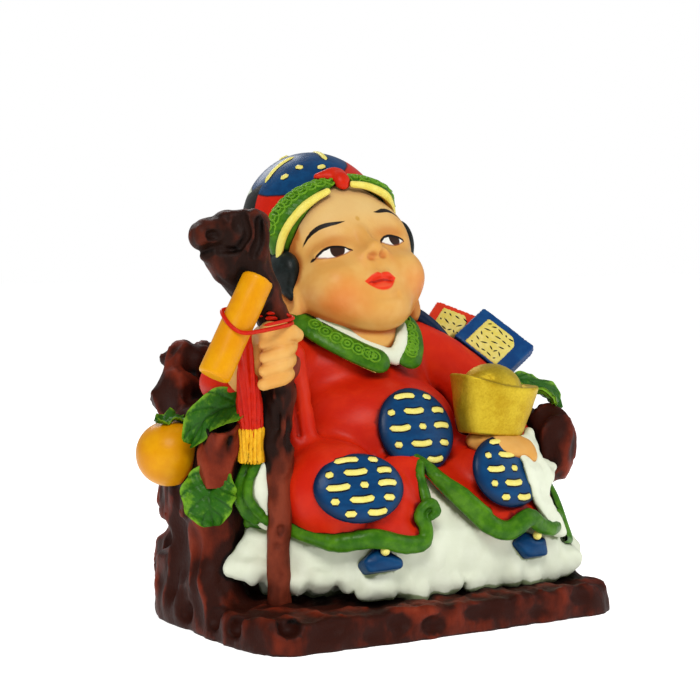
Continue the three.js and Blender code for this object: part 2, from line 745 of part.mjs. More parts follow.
// The staff with its dragon head, scroll, cord and tassel; extra swells it for its socket
function makeStaff( extra ) {

	const at = ( point ) => shifted( point, STAFF.foot );
	const swollen = ( { line, radius }, sides, steps ) =>
		limb( line.map( at ), () => radius + extra, { sides, steps } );
	const flare = ( t ) => STAFF.neckSwell * THREE.MathUtils.smoothstep( t, STAFF.swellFrom, STAFF.swellTo );
	const { steps, grain, rough } = STAFF;
	const shaftLine = [ [ 0, 0, BASE.height - STAFF.sink - extra ], ...STAFF.line ].map( at );
	const shaftRadius = ( t ) => STAFF.radius + extra + flare( t );
	const shaft = limb( shaftLine, shaftRadius, { sides: 8, steps, grain, rough } );

	const grown = ( [ centre, radii ] ) => [ at( centre ), radii.map( ( r ) => r + extra ) ];
	const dragon = modelled( at( DRAGON.heart ), DRAGON.lobes.map( grown ), 13, 9 );

	const bundle = limb( TASSEL.line.map( at ), ( t ) => TASSEL.radius + TASSEL.growth * t + extra,
		{ sides: 8, steps: 4 } );
	const fringe = swollen( { line: TASSEL.fringe, radius: TASSEL.fringeRadius }, 8, 1 );
	return joined( [
		shaft, dragon, swollen( SCROLL, 10, 1 ), swollen( HOLD, 8, 1 ), swollen( CORD, 5, 12 ), bundle, fringe,
	] );

}

// The boat-shaped ingot: flaring walls, raised ends and a dome in the middle
function makeIngot( extra ) {

	const [ cx, cy ] = INGOT.centre;
	const { bottom, height, halfLength, halfWidth } = INGOT;
	const rings = INGOT.levels.map( ( [ rise, part ] ) => {

		const halves = [ halfLength * part + extra, halfWidth * part + extra ];
		const z = rise === 0 ? bottom - extra : bottom + rise;
		const ring = superRing( [ cx, cy ], halves, z, () => INGOT.power, INGOT.points );
		const lift = rise === height ? INGOT.endLift : 0;

		for ( const point of ring ) {

			point.z += lift * Math.pow( ( point.x - cx ) / halfLength, 2 );

		}

		return ring;

	} );
	const cup = loft( rings );
	const scoopRadii = [ halfLength - INGOT.wall, halfWidth - INGOT.wall, INGOT.scoopDepth ];
	const scoop = ball( [ cx, cy, bottom + height + INGOT.scoopRise ], scoopRadii, 16, 6 );
	const domeRadii = INGOT.domeRadii.map( ( r ) => r + extra );
	const dome = ball( [ cx, cy, bottom + height - INGOT.domeDrop ], domeRadii, 12, 8 );
	return extra > 0 ? cup.add( dome ) : cup.subtract( scoop ).add( dome );

}

// Assembly

function node( name, solid, colour, roughness, metalness ) {

	const material = new THREE.MeshStandardMaterial( { color: colour, roughness, metalness } );
	const mesh = new THREE.Mesh( geometryOf( solid.simplify( FINENESS ) ), material );
	mesh.name = name;
	return mesh;

}

const figure = joined( [
	makeBase(), makeThrone(), makeFruitAndLeaves(), makeRobe(), makeSkirt(), makeSleeve( RAISED_ARM ),
	makeSleeve( RESTING_ARM ), makeHands(), makeHead(), makeHat(), makeCollar(),
	...ROUNDELS.map( makeRoundel ), ...BOOKS.map( makeBook ), ball( BOOK_REST.centre, BOOK_REST.radii, 10, 6 ),
] );
const sockets = makeStaff( CLEARANCE ).add( makeIngot( CLEARANCE ) );

const model = new THREE.Group();
model.position.copy( MIDLINE );
model.add( node( 'seated_figure', figure.subtract( sockets ), 0xb8321c, 0.42, 0 ) );
model.add( node( 'dragon_staff', makeStaff( 0 ), 0x4a2018, 0.5, 0 ) );
model.add( node( 'gold_ingot', makeIngot( 0 ), 0xc2a02c, 0.38, 0.7 ) );

export default model;
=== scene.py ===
"""A seated deity of wealth in painted resin, dressed over its fixed frame.

Lengths inside this file are millimetres from the middle of the figure, with +Z up and the
front facing -Y. They turn into metres, and move to the middle of the frame's box, only
where a mesh is made.
"""

import logging
import math
from collections.abc import Callable, Sequence
from dataclasses import dataclass, field
from enum import Enum

import bpy
import numpy as np
from mathutils import Matrix, Vector

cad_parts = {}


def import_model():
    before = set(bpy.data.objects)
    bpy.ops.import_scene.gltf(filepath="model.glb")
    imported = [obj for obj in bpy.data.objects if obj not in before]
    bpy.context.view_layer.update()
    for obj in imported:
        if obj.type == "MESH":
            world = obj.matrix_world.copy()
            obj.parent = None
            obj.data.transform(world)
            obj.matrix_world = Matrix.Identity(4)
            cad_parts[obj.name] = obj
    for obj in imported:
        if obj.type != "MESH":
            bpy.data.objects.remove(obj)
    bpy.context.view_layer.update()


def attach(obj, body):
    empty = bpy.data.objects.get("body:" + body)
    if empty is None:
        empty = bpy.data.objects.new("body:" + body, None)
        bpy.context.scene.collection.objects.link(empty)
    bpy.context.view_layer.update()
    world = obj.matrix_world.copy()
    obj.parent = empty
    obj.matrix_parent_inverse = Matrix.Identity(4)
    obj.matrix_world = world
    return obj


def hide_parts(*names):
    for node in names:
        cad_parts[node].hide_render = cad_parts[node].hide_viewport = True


LOG = logging.getLogger("statue")

Array = np.ndarray
Point = tuple[float, float, float]
Pair = tuple[float, float]
Line = Sequence[Point]
Lumps = Sequence[tuple[Point, Point]]
Spot = Point | Array
Painter = Callable[[Array], Array]

METRES = 0.001
MIDLINE = np.array((3.75, -3.95, 0.0))
BOTH = (-1, 1)
MARGIN = 5.0
FAR = 9.0
SHELL_MARGIN = 4.0
BURIED = 0.7
CREVICE_REACH = 0.9
HOLLOW_REACH = 3.2
DEEPEST = 1.5
LAID_SHADE = 0.3
OFF_FACE = 40.0
STROKE_SIDES = 6
OUTLINE_WIDTH = 0.62
OUTLINE_RISE = 0.24
RING_WIDTH = 0.55
SETTLE_STEPS = 6
SETTLE_PACE = 0.8
MOST_TRIANGLES = 196_000


# Numbers and noise

def unit(vector: Sequence[float]) -> Array:
    """Returns the vector scaled to length one."""
    v = np.asarray(vector, float)
    return v / np.linalg.norm(v)


def length(v: Array) -> Array:
    """Returns the length of each row."""
    return np.sqrt(np.einsum("ij,ij->i", v, v))


def ease(low: float, high: float, value: Array) -> Array:
    """Returns a smooth step from 0 at low to 1 at high."""
    t = np.clip((value - low) / (high - low), 0, 1)
    return t * t * (3 - 2 * t)


HASH = np.random.default_rng(11).permutation(256)
HASH_VALUE = HASH / 127.5 - 1


def lattice(p: Array, grain: float, seed: int = 0) -> Array:
    """Smooth noise in space.

    Args:
        p: Places, one a row.
        grain: Distance between unrelated values.
        seed: Picks one of many patterns.

    Returns:
        A value between -1 and 1 for each place.
    """
    q = p / grain + seed * 7.31
    cell = np.floor(q).astype(np.int64)
    t = q - cell
    t = t * t * (3 - 2 * t)
    total = np.zeros(len(p))
    for corner in range(8):
        step = np.array((corner & 1, corner >> 1 & 1, corner >> 2))
        c = (cell + step) & 255
        value = HASH_VALUE[(HASH[(HASH[c[:, 0]] + c[:, 1]) & 255] + c[:, 2]) & 255]
        weight = np.where(step, t, 1 - t).prod(1)
        total += value * weight
    return total


def cloud(p: Array, grain: float, octaves: int = 3, seed: int = 0) -> Array:
    """Returns lattice noise with finer layers at half the strength of the one before."""
    return sum(lattice(p, grain / 2 ** i, seed + i) / 2 ** i for i in range(octaves))


def smooth_min(a: Array, b: Array, soft: float) -> Array:
    """Returns the lower of two distances, rounded over a width."""
    if soft <= 0:
        return np.minimum(a, b)
    h = np.clip(0.5 + 0.5 * (b - a) / soft, 0, 1)
    return b + (a - b) * h - soft * h * (1 - h)


def even(value: float) -> Painter:
    """Returns a painter that gives one number everywhere."""
    return lambda p: np.full(len(p), float(value))


def around(spots: Spot, reach: float) -> tuple[Array, Array]:
    """Returns the lowest and highest corners of a box round one place or several."""
    p = np.atleast_2d(np.array(spots, float))
    return p.min(0) - reach, p.max(0) + reach


def moved(base: Sequence[float], *steps: Sequence[float]) -> list[Point]:
    """Returns the places that are some steps from one place."""
    return [tuple(b + s for b, s in zip(base, step)) for step in steps]


def curve(points: Sequence[Sequence[float]], steps: int = 6) -> Array:
    """Draws a smooth line through points.

    Args:
        points: Points on the line, of any dimension.
        steps: Pieces between two points.

    Returns:
        The line's points, one a row.
    """
    p = np.asarray(points, float)
    p = np.vstack((2 * p[0] - p[1], p, 2 * p[-1] - p[-2]))
    t = np.linspace(0, 1, steps, endpoint=False)[:, None]
    spans = []
    for a, b, c, d in zip(p[:-3], p[1:-2], p[2:-1], p[3:]):
        spans.append(0.5 * (2 * b + (c - a) * t + (2 * a - 5 * b + 4 * c - d) * t ** 2
                            + (3 * b - a - 3 * c + d) * t ** 3))
    return np.vstack((*spans, p[-2]))


# Solid forms, each given by its distance: negative inside

class Form:
    """A solid given by a distance for every place in space."""

    def at(self, p: Array) -> Array:
        """Measures how far places are from the form's skin.

        Args:
            p: Places, one a row.

        Returns:
            The distance of each place from the skin, negative inside.
        """
        raise NotImplementedError

    def slope(self, p: Array, h: float = 0.06) -> Array:
        """Returns the outward direction at each place, of length one."""
        here = self.at(p)
        grown = np.stack([self.at(p + h * axis) for axis in np.eye(3)], 1) - here[:, None]
        return grown / (length(grown)[:, None] + 1e-12)


@dataclass(frozen=True)
class Frame:
    """A place with three directions: rows are the local x, y and z."""

    origin: Array
    axes: Array

    def inward(self, p: Array) -> Array:
        """Returns places in the frame's own coordinates."""
        return (p - self.origin) @ self.axes.T

    def outward(self, q: Array) -> Array:
        """Returns places from the frame's own coordinates."""
        return q @ self.axes + self.origin

    def spot(self, x: float, y: float, z: float) -> Array:
        """Returns one place from the frame's own coordinates."""
        return self.outward(np.array((x, y, z), float))

    @staticmethod
    def nodding(origin: Point, angle: float) -> "Frame":
        """Returns a frame tipped back about x, by an angle in radians."""
        c, s = math.cos(angle), math.sin(angle)
        return Frame(np.array(origin, float), np.array(((1, 0, 0), (0, c, -s), (0, s, c))))

    @staticmethod
    def rolled(origin: Point, angle: float) -> "Frame":
        """Returns a frame rolled about y, by an angle in radians."""
        c, s = math.cos(angle), math.sin(angle)
        return Frame(np.array(origin, float), np.array(((c, 0, s), (0, 1, 0), (-s, 0, c))))

    @staticmethod
    def facing(origin: Spot, normal: Spot, roll: float = 0) -> "Frame":
        """A frame whose z looks along a normal and whose y is as upright as it can be.

        Args:
            origin: Where the frame sits.
            normal: The way it faces.
            roll: Turn about the normal, in degrees.

        Returns:
            The frame.
        """
        z = unit(normal)
        x = unit(np.cross((0, 0, 1), z))
        y = np.cross(z, x)
        c, s = math.cos(math.radians(roll)), math.sin(math.radians(roll))
        return Frame(np.array(origin, float), np.array((x * c + y * s, y * c - x * s, z)))


@dataclass(frozen=True)
class Egg(Form):
    """An egg-shaped lump, turned about x, y and then z by degrees."""

    centre: Spot
    radii: Point
    turn: Point = (0, 0, 0)

    def at(self, p: Array) -> Array:
        """Returns the distance from the lump."""
        q = p - np.array(self.centre)
        if any(self.turn):
            x, y, z = (Matrix.Rotation(math.radians(a), 3, n) for a, n in zip(self.turn, "XYZ"))
            q = q @ np.array(z @ y @ x)
        scaled = q / np.array(self.radii)
        k = length(scaled)
        return k * (k - 1) / np.maximum(length(scaled / np.array(self.radii)), 1e-9)


@dataclass(frozen=True)
class Limb(Form):
    """A round or flattened rope along a smooth line."""

    points: Line
    radii: float | Sequence[float]
    flat: float = 1
    face: Point = (0, -1, 0)
    steps: int = 3

    def at(self, p: Array) -> Array:
        """Returns the distance from the rope."""
        line = curve(self.points, self.steps)
        given = np.atleast_1d(np.array(self.radii, float))
        radii = np.interp(np.linspace(0, 1, len(line)), np.linspace(0, 1, len(given)), given)
        margin = radii.max() + MARGIN
        gap = np.maximum(line.min(0) - margin - p, p - line.max(0) - margin).max(1)
        out = gap + MARGIN
        near = gap < 0
        q = p[near]
        best = np.full(len(q), 1e9)
        normal = unit(self.face)
        for a, b, ra, rb in zip(line[:-1], line[1:], radii[:-1], radii[1:]):
            along = b - a
            offset = q - a
            t = np.clip(offset @ along / (along @ along + 1e-12), 0, 1)
            away = offset - t[:, None] * along
            if self.flat != 1:
                away = away + (1 / self.flat - 1) * (away @ normal)[:, None] * normal
            best = np.minimum(best, length(away) - (ra + (rb - ra) * t))
        out[near] = best * (0.5 + 0.5 * self.flat)
        return out


@dataclass(frozen=True)
class Pile(Form):
    """A pile of rounded-square outlines; levels are height, half width and half depth."""

    centre: Pair
    levels: Line
    power: Callable[[Array, Array], Array] | float
    soft: float = 1.5

    def at(self, p: Array) -> Array:
        """Returns the distance from the pile."""
        heights, widths, depths = np.array(self.levels, float).T
        hx = np.interp(p[:, 2], heights, widths)
        hy = np.interp(p[:, 2], heights, depths)
        x = (p[:, 0] - self.centre[0]) / hx
        y = (p[:, 1] - self.centre[1]) / hy
        n = self.power(x, y) if callable(self.power) else self.power
        s = (np.abs(x) ** n + np.abs(y) ** n + 1e-9) ** (1 / n)
        side = (s - 1) * np.hypot(hx * x, hy * y) / s
        cap = np.maximum(heights[0] - p[:, 2], p[:, 2] - heights[-1])
        return -smooth_min(-side, -cap, self.soft)


@dataclass(frozen=True)
class Plate(Form):
    """A flat many-sided plate, domed a little, with its outline in its frame's x and y."""

    frame: Frame
    outline: Sequence[Pair]
    thickness: float
    dome: float = 0
    soft: float = 0.5

    def edge(self, q: Array) -> Array:
        """Returns the distance inside the outline, in the plate's own coordinates."""
        corners = np.array(self.outline, float)
        out = np.full(len(q), -1e9)
        for a, b in zip(corners, np.roll(corners, -1, 0)):
            across = unit((b[1] - a[1], a[0] - b[0]))
            out = -smooth_min(-out, -((q[:, :2] - a) @ across), self.soft)
        return out

    def at(self, p: Array) -> Array:
        """Returns the distance from the plate."""
        q = self.frame.inward(p)
        d = self.edge(q)
        lift = self.dome * ease(0, 3, -d)
        face = np.maximum(q[:, 2] - lift, -q[:, 2] - self.thickness)
        return -smooth_min(-d, -face, self.soft)


@dataclass(frozen=True)
class Sheet(Form):
    """Hanging cloth: a skin of even thickness between rows of equally many points."""

    rows: Sequence[Array]
    thickness: float

    def at(self, p: Array) -> Array:
        """Returns the distance from the cloth."""
        every = np.vstack(self.rows)
        gap = np.maximum(every.min(0) - MARGIN - p, p - every.max(0) - MARGIN).max(1)
        out = gap + MARGIN
        near = gap < 0
        q = p[near]
        best = np.full(len(q), 1e9)
        for upper, lower in zip(self.rows[:-1], self.rows[1:]):
            for i in range(len(upper) - 1):
                for a, b, c in ((upper[i], upper[i + 1], lower[i]),
                                (upper[i + 1], lower[i + 1], lower[i])):
                    best = np.minimum(best, self._gap(q, a, b, c))
        out[near] = np.sqrt(best) - self.thickness / 2
        return out

    @staticmethod
    def _gap(p: Array, a: Array, b: Array, c: Array) -> Array:
        """Measures how far places are from one triangle.

        Args:
            p: Places, one a row.
            a: The triangle's first corner.
            b: Its second corner.
            c: Its third corner.

        Returns:
            The squared distance of each place.
        """
        normal = np.cross(b - a, a - c)
        outside = np.zeros(len(p))
        rim = np.full(len(p), 1e18)
        for start, end in ((a, b), (b, c), (c, a)):
            side, away = end - start, p - start
            outside += np.sign(away @ np.cross(side, normal))
            t = np.clip(away @ side / (side @ side), 0, 1)
            rim = np.minimum(rim, (length(away - t[:, None] * side)) ** 2)
        face = ((p - a) @ normal) ** 2 / (normal @ normal)
        return np.where(outside < 2, rim, face)


@dataclass(frozen=True)
class Melt(Form):
    """Several forms run together like clay."""

    forms: Sequence[Form]
    soft: float = 0

    def at(self, p: Array) -> Array:
        """Returns the distance from the joined forms."""
        out = self.forms[0].at(p)
        for form in self.forms[1:]:
            out = smooth_min(out, form.at(p), self.soft)
        return out


@dataclass(frozen=True)
class Carved(Form):
    """A form with grooves or hollows pressed into it."""

    body: Form
    tools: Sequence[Form]
    soft: float = 1

    def at(self, p: Array) -> Array:
        """Returns the distance from what is left."""
        out = self.body.at(p)
        for tool in self.tools:
            out = -smooth_min(-out, tool.at(p), self.soft)
        return out


@dataclass(frozen=True)
class Rough(Form):
    """A form whose skin rises and sinks by a relief."""

    body: Form
    relief: Painter
    depth: float

    def at(self, p: Array) -> Array:
        """Returns the distance from the roughened skin."""
        out = self.body.at(p)
        near = np.abs(out) < self.depth + 3
        out[near] -= self.relief(p[near])
        return out


def grainy(body: Form, rise: float, grain: float, seed: int, depth: float) -> Rough:
    """Returns a form whose skin has a little noise on it."""
    return Rough(body, lambda p: rise * cloud(p, grain, 2, seed), depth)


@dataclass(frozen=True)
class Leaned(Form):
    """A form built in its own frame."""

    body: Form
    frame: Frame

    def at(self, p: Array) -> Array:
        """Returns the distance from the leaned form."""
        return self.body.at(self.frame.inward(p))


# Skins drawn over forms

@dataclass
class Skin:
    """A mesh in millimetres: its points and its four-cornered faces."""

    points: Array
    faces: Array


def sample(form: Form, low: Array, step: float, shape: Array) -> Array:
    """Measures a form on a grid, closely only where its skin passes.

    Args:
        form: The form to measure.
        low: The grid's lowest corner.
        step: The distance between grid points.
        shape: How many points the grid has each way.

    Returns:
        The distances; far from the skin only their sign holds.
    """
    block = 6
    counts = -(-shape // block)
    middles = np.stack(np.indices(counts), -1).reshape(-1, 3) + 0.5
    coarse = form.at(low + middles * block * step).reshape(counts)
    near = np.abs(coarse) < block * step * 1.3 + 1.2

    def spread(blocks: Array) -> Array:
        """Returns block values repeated for each grid point."""
        for axis in range(3):
            blocks = blocks.repeat(block, axis)
        return blocks[:shape[0], :shape[1], :shape[2]]

    grid = spread(coarse).copy()
    fine = spread(near)
    places = np.argwhere(fine)
    grid[fine] = form.at(low + places * step)
    return grid


def skin(form: Form, low: Spot, high: Spot, step: float) -> Skin:
    """Draws an even net of quads over a form inside a box.

    Args:
        form: The form to cover.
        low: The box's lowest corner.
        high: The box's highest corner.
        step: The size of the quads.

    Returns:
        The net, with each point moved onto the form.
    """
    start = np.array(low, float)
    shape = np.ceil((np.array(high) - start) / step).astype(int) + 1
    grid = sample(form, start, step, shape)
    cells = shape - 1
    total = int(cells.prod())
    sums = np.zeros((total, 3))
    hits = np.zeros(total)
    quads = []
    for axis in range(3):
        first = [slice(None)] * 3
        second = [slice(None)] * 3
        first[axis] = slice(0, -1)
        second[axis] = slice(1, None)
        a, b = grid[tuple(first)], grid[tuple(second)]
        crossing = (a < 0) != (b < 0)
        u, v = (axis + 1) % 3, (axis + 2) % 3
        for edge_axis in (u, v):
            rim = [slice(None)] * 3
            rim[edge_axis] = (0, -1)
            crossing[tuple(rim)] = False
        index = np.argwhere(crossing)
        near, far = a[crossing], b[crossing]
        place = index.astype(float)
        place[:, axis] += near / (near - far)
        corners = []
        for du, dv in ((0, 0), (1, 0), (1, 1), (0, 1)):
            cell = index.copy()
            cell[:, u] -= du
            cell[:, v] -= dv
            flat = np.ravel_multi_index(cell.T, cells)
            corners.append(flat)
            hits += np.bincount(flat, minlength=total)
            for k in range(3):
                sums[:, k] += np.bincount(flat, place[:, k], total)
        quad = np.stack(corners, 1)
        quads.append(np.where((near < 0)[:, None], quad, quad[:, ::-1]))
    used = np.flatnonzero(hits)
    order = np.full(total, -1)
    order[used] = np.arange(len(used))
    points = start + sums[used] / hits[used, None] * step
    points -= np.clip(form.at(points), -step, step)[:, None] * form.slope(points)
    return Skin(points, order[np.vstack(quads)])


def ribbon(path: Array, normals: Array, width: float, rise: float, closed: bool = False) -> Skin:
    """Sweeps a low round-backed stroke along a line on a surface.

    Args:
        path: Points on the surface.
        normals: The surface's outward direction at each point.
        width: The stroke's width.
        rise: How far its back stands up.
        closed: Whether its end meets its start, else it tapers at both ends.

    Returns:
        The stroke's skin, open where it meets the surface.
    """
    ahead = np.roll(path, -1, 0) - np.roll(path, 1, 0)
    if not closed:
        ahead[0], ahead[-1] = path[1] - path[0], path[-1] - path[-2]
    side = np.cross(ahead, normals)
    side /= length(side)[:, None] + 1e-9
    t = np.linspace(-1, 1, len(path))
    grow = np.ones(len(path)) if closed else np.maximum(1 - np.abs(t) ** 12, 0.02) ** 0.5
    angles = np.linspace(0, math.pi, STROKE_SIDES)
    sunk = 0.25
    rings = [path + side * (math.cos(a) * width / 2 * grow)[:, None]
             + normals * ((math.sin(a) * rise * (1 + sunk) - sunk * rise) * grow)[:, None]
             for a in angles]
    points = np.stack(rings, 1).reshape(-1, 3)
    count = len(path)
    faces = []
    for i in range(count if closed else count - 1):
        a, b = i * STROKE_SIDES, (i + 1) % count * STROKE_SIDES
        for k in range(STROKE_SIDES - 1):
            faces.append((a + k, a + k + 1, b + k + 1, b + k))
    return Skin(points, np.array(faces))


def tube(path: Array, radii: float | Array, sides: int = 10) -> Skin:
    """Sweeps a closed round rope along a line.

    Args:
        path: Points on its middle.
        radii: One radius, or one for each point.
        sides: How many faces go round it.

    Returns:
        The rope's skin, with tapered ends.
    """
    ahead = np.gradient(path, axis=0)
    ahead /= length(ahead)[:, None]
    side = np.cross(ahead[0], (0.3, 0.2, 1.0))
    rings = []
    size = np.broadcast_to(radii, len(path)).copy()
    taper = 0.1
    size[[0, -1]] *= taper
    for centre, direction, radius in zip(path, ahead, size):
        side = unit(side - direction * (side @ direction))
        other = np.cross(direction, side)
        turn = np.linspace(0, 2 * math.pi, sides, endpoint=False)
        rings.append(centre + radius * (np.cos(turn)[:, None] * side + np.sin(turn)[:, None] * other))
    faces = [(i * sides + k, i * sides + (k + 1) % sides, (i + 1) * sides + (k + 1) % sides,
              (i + 1) * sides + k) for i in range(len(path) - 1) for k in range(sides)]
    return Skin(np.vstack(rings), np.array(faces))


# Colours of the paints

def paint(red: int, green: int, blue: int) -> Point:
    """Returns a screen colour as the linear colour that shaders take."""
    def straight(v: int) -> float:
        """Returns one channel made linear."""
        c = v / 255
        return c / 12.92 if c <= 0.04045 else ((c + 0.055) / 1.055) ** 2.4
    return straight(red), straight(green), straight(blue)


class Paint(Enum):
    """The paints on the casting; the dark ones are the colours of the painted shade in creases and hollows.
    """

    RED = paint(198, 29, 6)
    RED_DARK = paint(104, 8, 5)
    BLUE = paint(4, 54, 98)
    BLUE_DARK = paint(4, 20, 48)
    GOLD = paint(236, 222, 108)
    GOLD_DARK = paint(186, 166, 60)
    GREEN = paint(38, 90, 10)
    GREEN_LIGHT = paint(92, 146, 24)
    GREEN_DARK = paint(12, 38, 8)
    WHITE = paint(224, 230, 206)
    WHITE_DARK = paint(142, 154, 116)
    BROWN = paint(48, 17, 9)
    BROWN_LIGHT = paint(118, 40, 20)
    BROWN_DARK = paint(15, 7, 5)
    SKIN = paint(217, 158, 78)
    SKIN_LIGHT = paint(228, 182, 106)
    SKIN_DARK = paint(170, 86, 32)
    BLUSH = paint(228, 112, 44)
    HAIR = paint(18, 22, 20)
    LIPS = paint(228, 44, 20)
    ORANGE = paint(214, 138, 0)
    ORANGE_DARK = paint(190, 98, 4)
    CORD = paint(190, 22, 4)
    BOOK_RED = paint(216, 48, 24)
    PAPER = paint(226, 208, 92)
    # Dark paint for lines and print, also the painted shade round the raised strokes.
    INK_AND_SHADE = paint(14, 16, 22)


Colour = Point | Paint


# Shader building

class Value:
    """A number that varies over a surface, on which plain arithmetic adds Math nodes."""

    def __init__(self, shader: "Shader", socket: bpy.types.NodeSocket) -> None:
        """Keeps the shader and the socket that carries the number."""
        self.shader = shader
        self.socket = socket

    def _math(self, operation: str, *values: "Value | float") -> "Value":
        """Adds one Math node and returns its result."""
        return self.shader.node("ShaderNodeMath", {"operation": operation}, dict(enumerate(values)))

    def __add__(self, other: "Value | float") -> "Value":
        """Returns the sum."""
        return self._math("ADD", self, other)

    __radd__ = __add__

    def __sub__(self, other: "Value | float") -> "Value":
        """Returns the difference."""
        return self._math("SUBTRACT", self, other)

    def __rsub__(self, other: float) -> "Value":
        """Returns the difference from a number."""
        return self._math("SUBTRACT", other, self)

    def __mul__(self, other: "Value | float") -> "Value":
        """Returns the product."""
        return self._math("MULTIPLY", self, other)

    __rmul__ = __mul__

    def __truediv__(self, other: "Value | float") -> "Value":
        """Returns the quotient."""
        return self._math("DIVIDE", self, other)

    def __pow__(self, other: float) -> "Value":
        """Returns the power."""
        return self._math("POWER", self, other)

    def low(self, other: "Value | float") -> "Value":
        """Returns the lower of two values."""
        return self._math("MINIMUM", self, other)

    def high(self, other: "Value | float") -> "Value":
        """Returns the higher of two values."""
        return self._math("MAXIMUM", self, other)

    def size(self) -> "Value":
        """Returns the value without its sign."""
        return self._math("ABSOLUTE", self)

    def root(self) -> "Value":
        """Returns the square root."""
        return self._math("SQRT", self.high(0.0))

    def step(self, low: float, high: float) -> "Value":
        """Returns a smooth step: 0 at low, 1 at high."""
        settings = {"interpolation_type": "SMOOTHSTEP"}
        return self.shader.node("ShaderNodeMapRange", settings,
                                {"Value": self, "From Min": low, "From Max": high})


class Shader:
    """Builds one material's nodes."""

    def __init__(self, name: str) -> None:
        """Starts a material with only its output."""
        self.material = bpy.data.materials.new(name)
        self.material.use_nodes = True
        self.tree = self.material.node_tree
        self.tree.nodes.clear()
        self.output = self.tree.nodes.new("ShaderNodeOutputMaterial")

    def add(self, kind: str, settings: dict, values: dict) -> bpy.types.Node:
        """Adds one node.

        Args:
            kind: The node's type.
            settings: Its own settings, which are set first.
            values: Numbers, colours or links for its sockets, by name or number.

        Returns:
            The node.
        """
        node = self.tree.nodes.new(kind)
        for key, setting in settings.items():
            setattr(node, key, setting)
        for key, value in values.items():
            socket = node.inputs[key]
            if isinstance(value, Paint):
                value = value.value
            if isinstance(value, Value):
                self.tree.links.new(value.socket, socket)
            elif isinstance(value, tuple) and len(value) == 3 and socket.type == "RGBA":
                socket.default_value = (*value, 1)
            else:
                socket.default_value = value
        return node

    def node(self, kind: str, settings: dict, values: dict, result: str | int = 0) -> Value:
        """Adds one node and returns one of its results."""
        return Value(self, self.add(kind, settings, values).outputs[result])

    def data(self, name: str) -> Value:
        """Returns a number stored on the mesh."""
        return self.node("ShaderNodeAttribute", {"attribute_name": name}, {}, "Fac")

    def stretched(self, stretch: Point) -> Value:
        """Returns the place on the piece, in metres, scaled differently each way."""
        place = self.node("ShaderNodeTexCoord", {}, {}, "Object")
        return self.node("ShaderNodeVectorMath", {"operation": "MULTIPLY"}, {0: place, 1: stretch})

    def noise(self, grain: float, detail: float = 3, rough: float = 0.55,
              stretch: Point = (1, 1, 1)) -> Value:
        """Adds noise whose lumps are about a grain of millimetres across.

        Args:
            grain: The size of a lump.
            detail: How many finer layers it has.
            rough: How strong they are.
            stretch: How much each direction is packed closer.

        Returns:
            The noise, from about 0 to 1.
        """
        values = {"Vector": self.stretched(stretch), "Scale": 1 / (grain * METRES),
                  "Detail": detail, "Roughness": rough}
        return self.node("ShaderNodeTexNoise", {}, values)

    def mix(self, factor: Value | float, first: Value | Colour, second: Value | Colour) -> Value:
        """Mixes two colours by a factor."""
        return self.node("ShaderNodeMix", {"data_type": "RGBA"}, {0: factor, 6: first, 7: second}, 2)

    def bump(self, height: Value, depth: float) -> Value:
        """Adds relief that is depth millimetres deep."""
        values = {"Height": height, "Distance": depth * METRES, "Strength": 1.0}
        return self.node("ShaderNodeBump", {}, values)

    def finish(self, **values: object) -> bpy.types.Material:
        """Closes the material with one Principled surface, and returns it."""
        named = {key.replace("_", " ").title().replace("Ior", "IOR"): value
                 for key, value in {"specular_ior_level": 0.13, **values}.items()}
        surface = self.add("ShaderNodeBsdfPrincipled", {}, named)
        self.tree.links.new(surface.outputs[0], self.output.inputs[0])
        return self.material


# More forms that this casting needs

@dataclass(frozen=True)
class Rod(Form):
    """A straight round bar with flat ends and softened rims."""

    start: Spot
    end: Spot
    radius: float
    soft: float = 0.7

    def at(self, p: Array) -> Array:
        """Returns the distance from the bar."""
        a, b = np.array(self.start), np.array(self.end)
        axis = unit(b - a)
        q = p - (a + b) / 2
        along = q @ axis
        side = length(q - along[:, None] * axis) - self.radius
        cap = np.abs(along) - np.linalg.norm(b - a) / 2
        return -smooth_min(-side, -cap, self.soft)


@dataclass(frozen=True)
class Slab(Form):
    """A box with softened edges, in its frame's directions."""

    frame: Frame
    halves: Point
    soft: float = 0.6

    def at(self, p: Array) -> Array:
        """Returns the distance from the box."""
        q = np.abs(self.frame.inward(p)) - np.array(self.halves) + self.soft
        outside = length(np.maximum(q, 0))
        return outside + np.minimum(q.max(1), 0) - self.soft


@dataclass(frozen=True)
class Ground(Form):
    """The low base: an outline with its own reach and squareness on each side."""

    centre: Pair = (-1.3, 5.0)
    left: float = 52.3
    right: float = 55.0
    front: float = 47.8
    back: float = 45.9
    height: float = 8.0
    below: float = 1.6
    back_power: float = 2.05
    front_left_power: float = 8.5
    front_right_power: float = 11.0
    half: float = 50.0
    taper: float = 0.018
    soft: float = 1.8

    def at(self, p: Array) -> Array:
        """Returns the distance from the base."""
        x = p[:, 0] - self.centre[0]
        y = p[:, 1] - self.centre[1]
        blend = ease(-0.3, 0.3, x / self.half)
        front = self.front_left_power + (self.front_right_power - self.front_left_power) * blend
        power = np.where(y > 0, self.back_power, front)
        shrink = 1 - self.taper * np.clip(p[:, 2] / self.height, 0, 1.5) ** 3
        u = np.abs(x / (np.where(x < 0, self.left, self.right) * shrink))
        v = np.abs(y / (np.where(y < 0, self.front, self.back) * shrink))
        s = (u ** power + v ** power + 1e-9) ** (1 / power)
        side = (s - 1) * np.hypot(x, y) / s
        cap = np.maximum(-self.below - p[:, 2], p[:, 2] - self.height)
        return -smooth_min(-side, -cap, self.soft)


